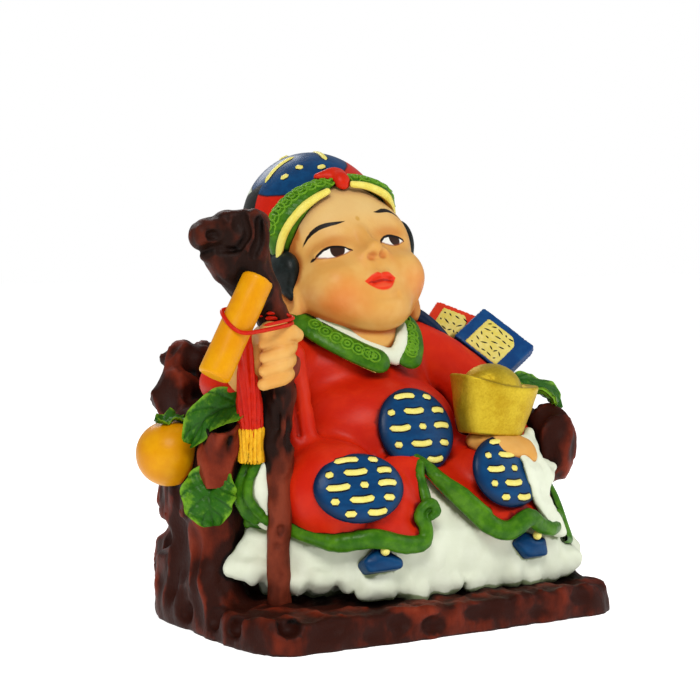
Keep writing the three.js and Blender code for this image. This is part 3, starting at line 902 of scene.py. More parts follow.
@dataclass(frozen=True)
class Raised(Form):
    """A form whose ends are lifted along x, as the rim of a boat is."""

    body: Form
    middle: float
    half: float
    lift: float
    low: float
    high: float

    def at(self, p: Array) -> Array:
        """Returns the distance from the lifted form."""
        q = p.copy()
        q[:, 2] -= (self.lift * ((p[:, 0] - self.middle) / self.half) ** 2
                    * ease(self.low, self.high, p[:, 2]))
        return self.body.at(q)


# One casting: skins that share hidden faces, hollows and paint

@dataclass
class Shell:
    """One modelled form of a casting, with its finish and its paint lines."""

    form: Form
    low: Spot
    high: Spot
    finish: str
    skin: Skin
    data: dict[str, Painter]

    def at(self, p: Array) -> Array:
        """Returns the distance from the form, or a long one well outside its box."""
        out = np.full(len(p), FAR)
        gap = np.maximum(np.array(self.low) - p, p - np.array(self.high)).max(1)
        near = gap < SHELL_MARGIN
        out[near] = self.form.at(p[near])
        return out


@dataclass
class Casting:
    """A casting of many shells, drawn as one mesh."""

    name: str
    node: str
    slot: str
    shells: list[Shell] = field(default_factory=list)
    laid: list[tuple[Skin, str, dict[str, Array]]] = field(default_factory=list)

    def model(self, form: Form, low: Spot, high: Spot, step: float, finish: str,
              **data: Painter) -> None:
        """Adds a modelled form.

        Args:
            form: The form.
            low: Its box's lowest corner.
            high: Its box's highest corner.
            step: The size of its net.
            finish: The name of its finish.
            data: Numbers to keep for its finish, each worked out from places.
        """
        drawn = skin(form, low, high, step)
        drawn.points[:, 2] = np.maximum(drawn.points[:, 2], 0)
        self.shells.append(Shell(form, low, high, finish, drawn, data))

    def lay(self, finish: str, drawn: Skin, **data: Array) -> None:
        """Adds a stroke, cord or leaf that lies on the forms, with numbers for its finish."""
        self.laid.append((drawn, finish, data))

    def write(self, form: Form, frame: Frame, paths: Sequence[Sequence[Pair]], width: float,
              rise: float) -> None:
        """Lays raised gold strokes on a form, each in a dark outline of painted shade and dark wash at its
        foot.

        Args:
            form: The form under the strokes.
            frame: The drawing's frame.
            paths: The strokes.
            width: How wide a stroke is.
            rise: How far it stands up.
        """
        settled = [settle(form, frame, curve(path, 5)) for path in paths]
        # The outline is painted shade, with the dark wash, round each stroke's foot.
        outline = ("ink", width + OUTLINE_WIDTH, OUTLINE_RISE * rise)
        for finish, wide, high in (("gold", width, rise), outline):
            for points, normals in settled:
                self.lay(finish, ribbon(points, normals, wide, high))

    def ring(self, form: Form, frame: Frame, radius: float, rise: float, sides: int) -> None:
        """Lays a small raised ring on a form.

        Args:
            form: The form under the ring.
            frame: The frame round whose middle it is drawn.
            radius: The ring's radius.
            rise: How far it stands up.
            sides: How many straight pieces it has.
        """
        turn = np.linspace(0, 2 * math.pi, sides, endpoint=False)
        circle = radius * np.column_stack((np.cos(turn), np.sin(turn)))
        points, normals = settle(form, frame, circle)
        self.lay("ring", ribbon(points, normals, RING_WIDTH, rise, True))

    def distance(self, p: Array, skipped: Shell | None = None) -> Array:
        """Returns the distance of places from all the forms but one."""
        out = np.full(len(p), FAR)
        for shell in self.shells:
            if shell is not skipped:
                out = np.minimum(out, shell.at(p))
        return out

    def build(self, finishes: dict[str, bpy.types.Material]) -> None:
        """Makes the casting's object, which rides on the frame and stands for its solid.

        Args:
            finishes: The materials by the names that the shells use.
        """
        skins: list[tuple[Skin, str]] = []
        data: list[dict[str, Array]] = []
        for shell in self.shells:
            hidden = self.distance(shell.skin.points, shell) < -BURIED
            faces = shell.skin.faces[~hidden[shell.skin.faces].all(1)]
            used, order = np.unique(faces, return_inverse=True)
            points = shell.skin.points[used]
            skins.append((Skin(points, order.reshape(-1, 4)), shell.finish))
            data.append({key: paint_line(points) for key, paint_line in shell.data.items()})
        skins += [(one, finish) for one, finish, _ in self.laid]
        data += [kept for _, _, kept in self.laid]
        points = np.vstack([one.points for one, _ in skins])
        starts = np.cumsum([0] + [len(one.points) for one, _ in skins])
        faces = np.vstack([one.faces + start for (one, _), start in zip(skins, starts)])
        names = sorted({finish for _, finish in skins})
        mesh = net(self.name, points + MIDLINE, faces)
        for name in names:
            mesh.materials.append(finishes[name])
        index = np.concatenate([np.full(len(one.faces), names.index(finish), np.int32)
                                for one, finish in skins])
        mesh.polygons.foreach_set("material_index", index)
        normals = np.zeros(len(mesh.vertices) * 3, np.float32)
        mesh.vertices.foreach_get("normal", normals)
        normals = normals.reshape(-1, 3).astype(float)
        soft = np.ones(len(points))
        soft[starts[len(self.shells)]:] = LAID_SHADE
        # How closed in each point is, which the finishes turn into painted shade in creases and hollows.
        for key, reach in (("crevice", CREVICE_REACH), ("hollow", HOLLOW_REACH)):
            store(mesh, key, self.shade(points, normals, reach) * soft)
        for key in sorted({key for one in data for key in one}):
            values = np.zeros(len(points))
            for one, start, (part, _) in zip(data, starts, skins):
                if key in one:
                    values[start:start + len(part.points)] = one[key]
            store(mesh, key, values)
        piece = bpy.data.objects.new(self.name, mesh)
        bpy.context.scene.collection.objects.link(piece)
        self.thin(piece, 2 * len(faces))
        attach(piece, "root")
        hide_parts(self.node)
        left = len(piece.data.loops) - 2 * len(piece.data.polygons)
        LOG.info("%s: %d shells, %d triangles", self.name, len(skins), left)

    def thin(self, piece: bpy.types.Object, triangles: int) -> None:
        """Takes triangles out where a piece is flattest, if it has too many.

        Args:
            piece: The piece.
            triangles: How many triangles it has.
        """
        if triangles > MOST_TRIANGLES:
            thinned = piece.modifiers.new("thinned", "DECIMATE")
            thinned.ratio = MOST_TRIANGLES / triangles
            graph = bpy.context.evaluated_depsgraph_get()
            mesh = bpy.data.meshes.new_from_object(
                piece.evaluated_get(graph), preserve_all_data_layers=True, depsgraph=graph)
            piece.modifiers.clear()
            piece.data = mesh

    def shade(self, points: Array, normals: Array, reach: float) -> Array:
        """Returns how closed in each place is: 0 in the open, 1 in a deep hollow."""
        open_part = self.distance(points + normals * reach) / reach
        return np.clip(1 - open_part, 0, DEEPEST) / DEEPEST


def net(name: str, points: Array, faces: Array) -> bpy.types.Mesh:
    """Makes a smooth mesh.

    Args:
        name: The mesh's name.
        points: Places in millimetres.
        faces: Four corners a row.

    Returns:
        The mesh, in metres.
    """
    mesh = bpy.data.meshes.new(name)
    mesh.vertices.add(len(points))
    mesh.vertices.foreach_set("co", (points * METRES).astype(np.float32).ravel())
    mesh.loops.add(faces.size)
    mesh.loops.foreach_set("vertex_index", faces.astype(np.int32).ravel())
    mesh.polygons.add(len(faces))
    mesh.polygons.foreach_set("loop_start", np.arange(0, faces.size, 4, dtype=np.int32))
    mesh.polygons.foreach_set("use_smooth", np.ones(len(faces), bool))
    mesh.update(calc_edges=True)
    return mesh


def store(mesh: bpy.types.Mesh, key: str, values: Array) -> None:
    """Keeps one number for each point of a mesh."""
    layer = mesh.attributes.new(key, "FLOAT", "POINT")
    layer.data.foreach_set("value", values.astype(np.float32))


def settle(form: Form, frame: Frame, path: Array) -> tuple[Array, Array]:
    """Lays a flat drawing down on a form.

    Args:
        form: The form under the drawing.
        frame: Where the drawing is, looking out along its z.
        path: The drawing's points in the frame's x and y.

    Returns:
        The points on the form and the form's outward directions there.
    """
    flat = np.column_stack((path, np.zeros(len(path))))
    points = frame.outward(flat)
    for _ in range(SETTLE_STEPS):
        points -= SETTLE_PACE * form.at(points)[:, None] * frame.axes[2]
    return points, form.slope(points)


# The root throne and the base

@dataclass(frozen=True)
class RootThrone:
    """The low base and the gnarled root seat on it, with its stumps."""

    bark_depth: float = 1.25
    bark_grain: float = 6.5
    pits: Lumps = (
        ((-36.6, -42.8, 5.6), (5.0, 2.6, 2.4)), ((-17.1, -43.2, 5.0), (3.4, 2.5, 2.6)),
        ((-7.2, -43.2, 3.4), (3.8, 2.5, 2.4)), ((7.0, -43.2, 5.0), (6.2, 2.4, 1.8)),
        ((39.0, -43.2, 5.6), (4.2, 2.5, 2.4)), ((-25.5, -43.4, 2.6), (3.0, 2.0, 1.6)),
        ((25.0, -43.4, 3.0), (3.6, 2.0, 1.6)), ((-45.6, -38.6, 6.2), (2.6, 3.0, 2.0)),
        ((-51.6, -26.1, 4.8), (2.6, 3.0, 2.4)), ((-52.4, -15.8, 5.4), (2.5, 2.8, 3.0)),
        ((-53.2, -2.0, 4.6), (2.4, 3.0, 2.6)), ((52.6, -33.0, 5.0), (2.2, 2.6, 2.4)),
        ((53.4, -14.0, 4.4), (1.8, 3.6, 2.2)), ((52.8, 8.0, 4.6), (1.8, 3.8, 2.4)),
    )
    well: Limb = Limb(((-50.2, -13.0, 45.0), (-51.0, -17.0, 54.6)), 3.1)
    waist: Limb = Limb(((-52, 12, 21), (-46.5, 27, 21), (-42.2, 37.5, 21), (-34, 47, 21)), 4.0)

    def relief(self, p: Array) -> Array:
        """Returns how far the bark rises at each place: upright ribs on rough lumps."""
        upright = p * np.array((1.0, 1.0, 0.38))
        ribs = 1 - np.abs(cloud(upright, self.bark_grain, 2, 3)) * 2.2
        fine = cloud(upright, 2.3, 2, 9)
        lumps = cloud(p, 9.0, 2, 5)
        floor = ease(2, 12, p[:, 2])
        return self.bark_depth * (floor * (0.95 * ribs - 0.35) + 0.6 * lumps) + 0.3 * fine - 0.4

    def form(self) -> Form:
        """Returns the root seat and its base as one form."""
        back = Pile((-1.5, 29.5), ((2, 42.5, 20.5), (24, 41.6, 19.7), (46, 41.2, 18),
                                   (60, 39.5, 15.2), (69, 32, 8.6)), 2.3, 3)
        arm_levels = ((2, 7.8, 18), (42, 7.2, 16), (55, 5.4, 11))
        arms = [Pile((side * 45.4, 4), arm_levels, 2.5, 2.5) for side in BOTH]
        seat = Pile((-1, 8), ((3, 42, 22), (30, 42, 22)), 3, 2)
        stump = Limb(((-47.5, -6, 34), (-49.2, -12, 41)), (5.4, 4.2))
        knobs = [Egg((-45.6, 18, 56.5), (6.2, 8, 6.8)), Egg((-40, 22, 64.5), (7, 8, 5.4)),
                 Egg((47.8, -17, 44), (6.0, 8, 8.4)), Egg((47.2, -15.6, 37.6), (6.4, 8, 7.4)),
                 Egg((30, 28, 66), (9, 8, 4.6)), Egg((-51, -4, 31), (3.0, 5, 6)),
                 Egg((-50.2, -8, 12), (3.6, 6, 6)), Egg((50.4, 2, 24), (3.0, 9, 9)),
                 Egg((-2, 46.2, 30), (16, 4.0, 14)), Egg((20, 43.6, 46), (10, 4.4, 11)),
                 Egg((-24, 43.6, 44), (9, 4.4, 13))]
        branch = Limb(((45, 6, 44), (47.8, -17, 43)), 6.7)
        whole = Melt((Ground(), back, *arms, seat, stump, branch, *knobs), 3.2)
        rough = Rough(whole, self.relief, 1.8)
        pits = [Egg(place, radii) for place, radii in self.pits]
        return Carved(Carved(rough, (self.waist,), 2.4), pits, 1.1)

    def stump(self) -> Form:
        """Returns the hollow stump in front of the fruit, cut off at a slant."""
        trunk = Limb(((-49.4, -11, 36), (-50.2, -13.6, 44), (-51.0, -16.4, 54)), (4.9, 4.6, 4.5))
        cut = Frame.facing((-51.2, -17.2, 56.6), (-0.28, -0.42, 0.87))
        whole = Rough(trunk, self.relief, 1.6)
        return Carved(whole, (Slab(cut, (14, 14, 4.6), 0.3), self.well), 0.5)

    def pitch(self, p: Array) -> Array:
        """Returns 1 inside the stump's well and 0 outside it, where the bark is painted in shade."""
        return np.clip(0.9 - self.well.at(p), 0, 1)

    def model(self, casting: Casting) -> None:
        """Adds the seat to a casting."""
        casting.model(self.form(), (-56, -46, -3.2), (58, 54, 76), 1.12, "bark", rise=self.relief)
        casting.model(self.stump(), (-58, -24, 36), (-43, -5, 60), 0.55, "bark",
                      rise=lambda p: self.relief(p) + 0.9, pitch=self.pitch)


@dataclass(frozen=True)
class Fruit:
    """The round fruit on the throne's side."""

    centre: Point = (-55.0, 3.0, 43.3)
    radius: float = 8.15

    def model(self, casting: Casting) -> None:
        """Adds the fruit to a casting."""
        c, r = self.centre, self.radius
        dent = Egg((c[0], c[1], c[2] + r + 0.5), (1.4, 1.4, 1.6))
        ball = Carved(Egg(c, (r, r, r * 0.99)), (dent,), 1.5)
        casting.model(ball, *around(c, r + 0.8), 0.62, "fruit")


@dataclass(frozen=True)
class Leaf:
    """A thick wrinkled leaf with a sunk rib and a notched, wavy edge."""

    line: Line
    face: Point
    width: float
    curl: float = 1.0
    thickness: float = 1.8
    along: int = 46
    across: int = 26

    def skin(self) -> tuple[Skin, Array, Array]:
        """Draws the leaf.

        Returns:
            Its skin, and for each point how near it is to the edge and to a vein.
        """
        middle = curve(self.line, 12)
        spot = np.linspace(0, len(middle) - 1, self.along)
        centre = np.column_stack([np.interp(spot, np.arange(len(middle)), middle[:, k])
                                  for k in range(3)])
        ahead = np.gradient(centre, axis=0)
        ahead /= length(ahead)[:, None]
        normal = unit(self.face) - ahead * (ahead @ unit(self.face))[:, None]
        normal /= length(normal)[:, None]
        side = np.cross(ahead, normal)
        t = np.linspace(0, 1, self.along)[:, None]
        s = np.linspace(-1, 1, self.across)[None, :]
        lobe = np.sin(math.pi * (0.05 + 0.92 * t)) ** 0.62
        notch = 1 + 0.045 * np.cos(t * 24 + 1.3 * s)
        half = self.width / 2 * (0.08 + 0.92 * lobe) * notch
        slant = t * 26 - np.abs(s) * 7.5
        vein = np.exp(-(np.sin(slant / 2) / 0.3) ** 2) * ease(0.04, 0.2, np.abs(s))
        rib = np.exp(-(s / 0.09) ** 2)
        flutter = (0.6 * np.sin(t * 15 + s * 1.2) * s ** 2 + 0.35 * np.sin(t * 9 + 2)
                   + 0.2 * np.sin(t * 31 + s * 9))
        lift = self.curl * (1.25 * np.abs(s) ** 1.4 - 0.7) + flutter - 0.34 * vein - 0.5 * rib
        upper = (centre[:, None] + side[:, None] * (s * half)[..., None]
                 + normal[:, None] * (lift + self.thickness / 2)[..., None])
        plump = self.thickness * (0.35 + 0.65 * (1 - s ** 4)) * (0.3 + 0.7 * lobe)
        lower = upper - normal[:, None] * (plump * np.ones_like(half))[..., None]
        rows, columns = self.along, self.across
        points = np.vstack((upper.reshape(-1, 3), lower.reshape(-1, 3)))
        count = rows * columns
        i, j = np.meshgrid(np.arange(rows - 1), np.arange(columns - 1), indexing="ij")
        a = (i * columns + j).ravel()
        top = np.stack((a, a + columns, a + columns + 1, a + 1), 1)
        rim = np.concatenate((np.arange(columns), np.arange(1, rows) * columns + columns - 1,
                              count - 2 - np.arange(columns - 1),
                              np.arange(rows - 2, 0, -1) * columns))
        after = np.roll(rim, -1)
        wall = np.stack((rim, after, after + count, rim + count), 1)
        faces = np.vstack((top[:, ::-1], top + count, wall))
        edge = np.abs(s) * np.ones_like(t)
        folds = np.clip(vein + rib, 0, 1)
        return (Skin(points, faces), np.concatenate((edge.ravel(),) * 2),
                np.concatenate((folds.ravel(), 0 * folds.ravel())))


@dataclass(frozen=True)
class Foliage:
    """The leaves round the throne and the small one on the fruit."""

    leaves: Sequence[Leaf] = (
        Leaf(((-59.5, 1.0, 51.4), (-55, 1.5, 52.4), (-50, 3, 51.4)), (0, -0.35, 1), 4.6, 0.4, 1.0, 20, 12),
        Leaf(((-42.4, -17.6, 56.0), (-47.6, -16.4, 56.4), (-53.2, -13.4, 53.4), (-55.6, -9.0, 46.6)),
             (-5.0, -6.5, 4.0), 9.2, 1.3),
        Leaf(((-50.8, -13.6, 41.4), (-53.4, -15.0, 35), (-53.0, -16.0, 27.6)), (-6, -8, 1), 13.2),
        Leaf(((37.4, -13.5, 58.2), (44.5, -15.0, 57.6), (50.6, -15.5, 53.6), (51.4, -15.8, 50.4)),
             (0.25, -0.6, 0.8), 7.0, 0.3, 2.4),
    )

    def model(self, casting: Casting) -> None:
        """Adds the leaves to a casting."""
        twig = Limb(((42, 0, 50), (44, -13, 55.2)), (3.0, 2.4))
        casting.model(twig, (37, -18, 45), (50, 5, 60), 0.8, "bark", rise=lambda p: cloud(p, 3, 2, 1))
        for leaf in self.leaves:
            drawn, edge, vein = leaf.skin()
            casting.lay("leaf", drawn, rim=edge, vein=vein)


# The seated deity's dress

STROKES: Sequence[Sequence[Pair]] = (
    ((-4.6, 6.6), (-2.0, 6.9), (0.4, 6.7)), ((2.4, 6.6), (4.6, 6.2)),
    ((-7.0, 3.4), (-5.4, 3.7)), ((-3.4, 3.7), (-0.8, 3.4), (1.6, 3.7)),
    ((3.6, 3.4), (5.4, 3.6), (7.0, 3.3)), ((-7.4, 0.4), (-4.8, 0.1), (-2.6, 0.4)),
    ((-0.6, 0.3), (1.2, 0.1)), ((3.2, 0.2), (5.4, 0.4), (7.5, 0.1)),
    ((-6.9, -2.9), (-5.2, -3.2)), ((-3.2, -3.0), (-0.4, -3.3), (2.0, -3.0)), ((4.0, -3.1), (6.6, -3.4)),
    ((-4.4, -6.2), (-2.0, -6.4)), ((0.2, -6.3), (2.4, -6.6), (4.6, -6.2)),
)


@dataclass(frozen=True)
class Roundel:
    """A low blue badge on the cloth, with raised strokes in rows."""

    place: Point
    normal: Point
    half_width: float
    half_height: float
    scale: Pair = (1.0, 1.0)
    roll: float = 0.0
    depth: float = 2.6
    rise: float = 0.75

    def frame(self) -> Frame:
        """Returns the badge's frame."""
        return Frame.facing(self.place, self.normal, self.roll)

    def form(self) -> Form:
        """Returns the badge's domed form."""
        frame = self.frame()
        centre = Frame(frame.spot(0, 0, self.rise - self.depth), frame.axes)
        return Leaned(Egg((0, 0, 0), (self.half_width, self.half_height, self.depth)), centre)

    def model(self, casting: Casting) -> None:
        """Adds the badge and its strokes to a casting."""
        form = self.form()
        reach = max(self.half_width, self.half_height) + 1
        place = np.array(self.place)
        casting.model(form, place - (reach, 7, reach), place + (reach, 6, reach), 0.6, "blue",
                      border=self.border)
        paths = [[(x * self.scale[0], y * self.scale[1]) for x, y in path] for path in STROKES]
        casting.write(form, self.frame(), paths, 1.6, 0.42)

    def border(self, p: Array) -> Array:
        """Returns 1 at the badge's edge, and less towards its middle."""
        q = self.frame().inward(p)
        return np.hypot(q[:, 0] / self.half_width, q[:, 1] / self.half_height)


@dataclass(frozen=True)
class Robe:
    """The red robe: chest, belly, knees, sleeves and the two front panels."""

    lobes: Lumps = (
        ((0, 9, 60), (23.0, 17.8, 17)), ((0.5, -1.2, 47.2), (23.6, 21.8, 15.2)),
        ((0, 9, 66), (24, 11, 11)), ((0.5, -10.5, 41.2), (15, 13.4, 9.4)),
    )
    knees: Lumps = (
        ((15, 2, 34), (14, 16, 12)), ((20.5, -12, 35), (13, 14, 12.4)),
        ((23.6, -22.3, 34.8), (12.8, 12.1, 12.4)),
    )
    left_hem: Line = (
        (-40, -11, 27), (-36, -15.5, 27.0), (-31, -23.0, 24.6), (-27, -30, 23.0), (-19.5, -34.4, 24.0),
        (-13, -35.2, 22.2), (-8.6, -35.2, 21.6), (-5.2, -34.8, 22.4), (-4.6, -34.2, 25.8),
        (-6.0, -33.6, 28.4), (-3.6, -33.2, 29.8), (-3.2, -31.8, 33.4), (-2.6, -29.2, 37.0),
        (-1.2, -27.0, 40.0),
    )
    right_hem: Line = (
        (-1.4, -25.6, 40.2), (2.0, -27.2, 37.0), (5.6, -29.6, 32.8), (10.6, -32.8, 27.4),
        (15.2, -35.2, 23.0), (20, -36.2, 21.8), (26, -36.2, 24.4), (30.6, -35.0, 22.0),
        (36, -33.2, 20.6), (41.5, -28, 22.6),
    )

    def panel(self, hem: Line, middle: float) -> Form:
        """Returns a cloth panel from the knee down to its hem."""
        low = curve(hem, 2)
        x = middle + (low[:, 0] - middle) * 0.62
        knee = np.column_stack((x, np.full(len(low), -22.8), np.clip(low[:, 2] + 4, 38.5, 39.5)))
        bulge = -2.2 * ease(3, 13, np.abs(low[:, 0]))
        mid = low * 0.55 + knee * 0.45 + np.column_stack((0 * bulge, bulge, 0 * bulge + 0.4))
        return Sheet((knee, mid, low + np.array((0, 0.5, 0.8))), 2.4)

    def folds(self) -> list[Form]:
        """Returns the creases pressed into the chest, belly and sides."""
        lines = (
            (((-22.6, -9.5, 59.4), (-15, -15.6, 57.6), (-7.5, -17.6, 60.2), (0, -15.4, 63.4)), 1.7),
            (((1.5, -19.6, 61.4), (8, -18.8, 59.6), (15, -15.2, 60.0), (19, -11.2, 62.4)), 1.4),
            (((-26.4, -14.6, 66), (-26.0, -17.0, 58), (-25.2, -18.4, 51), (-22.4, -20.8, 46)), 0.6),
            (((-30.2, -12.6, 64), (-30.0, -15.2, 56), (-29.4, -16.6, 48)), 0.5),
            (((-24.0, -15.6, 56), (-16, -20.6, 52), (-10, -23.4, 46.5)), 0.7),
            (((12, -22.0, 56.6), (17, -17.4, 52), (20.5, -15.0, 46.4)), 1.0),
            (((12.6, -25.8, 45.6), (9.6, -27.4, 41.4)), 0.6),
            (((16.4, -9.6, 69.4), (19, -11.8, 63), (20.2, -12.6, 57.6)), 0.7),
        )
        return [Limb(points, size) for points, size in lines]

    def form(self) -> Form:
        """Returns the robe as one form."""
        torso = Melt([Egg(c, r) for c, r in self.lobes], 3.2)
        legs = [Egg((side * c[0], c[1], c[2] - 0.5 - 0.5 * side), (r[0], r[1], r[2] - 0.6 - 0.6 * side))
                for side in BOTH for c, r in self.knees]
        arms = (
            Limb(((-17, 8, 67), (-30, 3, 62), (-41, -4.6, 60), (-46.4, -7.5, 61)), (9.4, 8.2, 6.4, 5.0)),
            Egg((-45.8, -11.2, 60.4), (5.4, 4.6, 3.0)),
            Limb(((16, 8, 67), (27, 3, 61), (35, -4, 53), (34, -13, 46.5)), (9.4, 9, 8.4, 7.4)),
            Limb(((-28.6, -11.5, 67), (-28.2, -13.0, 57), (-27.4, -14.6, 46)), (3.6, 4.0, 4.4), 0.8),
        )
        falls = (
            Pile((-39.6, -11.5), ((31, 4.8, 5.2), (42, 5.6, 6.2), (52, 6.8, 6.6), (60, 7, 6.2)), 2.2),
            Pile((37.6, -15.0), ((22, 3.6, 6.4), (34, 5.2, 8.6), (40, 4.6, 8), (46, 3.0, 5)), 2.2),
        )
        panels = (self.panel(self.left_hem, -20), self.panel(self.right_hem, 20))
        laps = (Egg((-5.0, -24.2, 38.4), (6.4, 4.0, 4.6)), Egg((-10.5, -26.4, 31.0), (8.0, 7.4, 8.6)))
        body = Melt((torso, *legs, *laps), 3.0)
        cloth = Melt((body, *arms, *falls), 2.4)
        return Carved(Melt((cloth, *panels), 2.0), self.folds(), 1.7)

    def model(self, casting: Casting) -> None:
        """Adds the robe, its green hems and its badges to a casting."""
        casting.model(grainy(self.form(), 0.16, 7, 4, 0.3), (-56, -41, 16), (50, 24, 80), 0.82, "red")
        curl = Limb(((-5.8, -34.6, 26.6), (-6.2, -35.0, 30.2), (-3.4, -35.4, 31.8), (-1.5, -35.2, 29.6),
                     (-3.4, -35.9, 28.4)), (1.0, 1.1, 1.2, 1.2, 0.9))
        pleat = Limb(((3.6, -30.0, 37.0), (8.2, -33.0, 32.6), (13.4, -35.6, 27.6)), (1.0, 1.9, 1.7), 0.8)
        for line, reach, fold, lift in ((self.left_hem, (2.5, 2.5, 2.4, 2.2, 1.7, 1.5, 1.3), curl, 0.4),
                                        (self.right_hem, (1.3, 2.2, 2.7, 2.5, 2.1, 1.9), pleat, 1.5)):
            path = curve(line, 6)
            band = Limb([(x, y - 0.7, z + lift) for x, y, z in line], reach, 0.72, (0, -1, 0.3), 4)
            rough = grainy(Melt((band, fold), 0.5), 0.12, 2.4, 6, 0.3)
            casting.model(rough, *around(path, 4), 0.55, "green")
        for badge in (
            Roundel((1.3, -24.2, 48.8), (0.02, -0.94, 0.34), 11.2, 11.0, (1.22, 1.26)),
            Roundel((-22.6, -34.4, 37), (-0.12, -0.93, 0.35), 11.9, 8.6, (1.26, 1.0), 2),
            Roundel((22.6, -34.0, 38.0), (0.1, -0.93, 0.35), 11.2, 9.4, (1.1, 1.1), -3),
        ):
            badge.model(casting)


@dataclass(frozen=True)
class Sleeves:
    """The open ends of the sleeves: white lining inside a green rim."""

    right_rim: Line = (
        (-38.6, -18.4, 45.0), (-41.8, -18.8, 42.8), (-43.8, -19.0, 40.3), (-45.2, -19.0, 36.4),
        (-44.6, -19.0, 33.4), (-42.8, -19.0, 31.0), (-39.6, -18.8, 28.0), (-36.4, -18.6, 26.2),
    )
    right_band: Line = (
        (-40.2, -16.2, 45.8), (-42.9, -16.4, 42.6), (-44.7, -16.4, 39.6), (-46.0, -16.4, 36.2),
        (-45.0, -16.4, 31.8), (-42.2, -16.8, 28.2),
    )
    cuff_left: Line = (
        (26.4, -29.4, 43.6), (26.7, -34.4, 39.8), (28.3, -34.9, 34.6), (30.1, -34.7, 29.4),
        (34.2, -34.2, 24.0), (38.2, -32.0, 20.2),
    )
    cuff_right: Line = (
        (34.0, -26.0, 46.4), (37.4, -26.2, 38.6), (41.6, -26.6, 36.4), (37.4, -27.4, 31.2),
        (39.4, -28.4, 26.6), (40.6, -29.6, 20.8),
    )
    left_rim: Line = (
        (39.6, -26.4, 33.4), (41.4, -27.2, 29.5), (42.6, -27.8, 26.0), (44.2, -28.0, 21.8),
        (46.0, -27.8, 17.4), (42.6, -30.0, 18.4),
    )

    def cuff(self) -> Form:
        """Returns the ragged white cuff that hangs in front of the left knee's badge."""
        left, right = curve(self.cuff_left, 2), curve(self.cuff_right, 2)
        middle = (left + right) / 2 + np.array((1.0, -1.5, 0))
        return Sheet((left, middle, right), 2.0)

    def model(self, casting: Casting) -> None:
        """Adds the sleeve ends to a casting."""
        rim = Limb(self.right_rim, (0.9, 1.15, 1.25, 1.25, 1.25, 1.1, 0.9))
        band = Limb(self.right_band, (1.3, 1.6, 1.7, 1.7, 1.6, 1.3), 0.8, (-0.6, -0.8, 0))
        rough = grainy(Melt((rim, band), 0.5), 0.22, 1.8, 6, 0.5)
        casting.model(rough, (-53, -22, 23), (-33, -8, 50), 0.55, "green")
        inner = Limb(((-37.4, -15.4, 46), (-40.4, -16.0, 40), (-40.6, -16.0, 35), (-37.4, -16.2, 29)),
                     (3.4, 4.2, 4.4, 3.8))
        casting.model(inner, (-47, -23, 23), (-28, -8, 52), 0.6, "white")
        hem = Limb(self.left_rim, (1.0, 1.2, 1.3, 1.3, 1.4, 1.2), 1, (0, -1, 0), 5)
        casting.model(hem, (36, -31, 15), (50, -20, 37), 0.55, "green")
        casting.model(grainy(self.cuff(), 0.45, 2.8, 2, 0.8), (23, -39, 16), (47, -22, 50), 0.5, "white")


@dataclass(frozen=True)
class Skirt:
    """The white underskirt with its puffed hem, and the two toes under it."""

    hem: Line = (
        (-45.0, -14.6, 16.4), (-41.0, -17.0, 15.2), (-37.0, -19.0, 14.0), (-33.5, -21.4, 13.4),
        (-27.6, -25.6, 13.0), (-23.2, -29.0, 12.6), (-18.4, -30.6, 11.6), (-14.0, -31.6, 10.6),
        (-9.0, -31.8, 10.6), (-4.4, -31.6, 9.8), (1.0, -31.8, 10.4), (6.6, -31.8, 9.8),
        (12.0, -31.8, 10.2), (18.4, -31.6, 9.8), (24.6, -31.8, 10.4), (31.0, -31.6, 10.0),
        (37.0, -31.2, 11.0), (42.0, -30.0, 11.4), (46.6, -27.4, 12.6), (49.6, -23.4, 14.2),
    )

    def form(self) -> Form:
        """Returns the skirt as one form."""
        path = np.array(self.hem)
        puffs = [Egg(at + (0, 0.6 - 0.7 * math.sin(2.3 * i), 0.2 + 0.7 * math.sin(1.9 * i)),
                     (3.4 + 0.9 * math.sin(2.1 * i), 3.0 + 0.5 * math.cos(1.7 * i), 3.2))
                 for i, at in enumerate(path)]
        top = np.column_stack((path[:, 0] * 0.74, np.maximum(path[:, 1] + 9.5, -22.4),
                               np.full(len(path), 37.0)))
        mid = np.column_stack((path[:, 0] * 0.9, path[:, 1] + 1.6, np.full(len(path), 23.0)))
        cloth = Sheet((top, mid, path + np.array((0, 1.0, 1.5))), 4.6)
        fill = Pile((2, 3), ((6, 38.5, 22), (16, 39, 26), (30, 32, 25)), 3, 3)
        tip = Limb(((44.8, -27.0, 12.6), (48.0, -23.4, 12.4), (49.0, -14, 13)), (4.0, 4.0, 3.4))
        return Melt((cloth, fill, tip, *puffs), 1.1)

    def relief(self, p: Array) -> Array:
        """Returns the soft dents and folds of the cloth at each place."""
        upright = p * np.array((1.0, 1.0, 0.45))
        low = ease(24, 12, p[:, 2])
        return 1.15 * cloud(upright, 4.4, 2, 7) * low + 0.28 * cloud(p, 3.2, 2, 8)

    def model(self, casting: Casting) -> None:
        """Adds the skirt and the toes to a casting."""
        casting.model(Rough(self.form(), self.relief, 0.9), (-54, -38, 5), (55, 32, 42), 0.85, "white")
        toes = (
            ((-17.4, -35.2, 18.9), (-0.12, -1, 0.36),
             ((-4.7, 0.2), (-3.5, -2.7), (5.6, -2.3), (6.0, -0.2), (0.0, 4.0))),
            ((29.2, -34.9, 18.6), (0.1, -1, 0.36),
             ((-5.6, 1.4), (-2.2, -3.1), (4.4, -3.2), (4.8, 1.3), (-2.4, 3.8))),
        )
        for place, normal, outline in toes:
            frame = Frame.facing(place, normal)
            toe = Plate(frame, outline, 6, 0.9, 0.9)
            at = np.array(place)
            casting.model(toe, at - (8, 5, 6), at + (8, 9, 6), 0.5, "blue", border=even(0.5))
            bead = frame.spot(0.7, 2.0, 1.1)
            casting.model(Egg(bead, (1.15, 1.15, 1.15)), *around(bead, 1.8), 0.3, "gold")


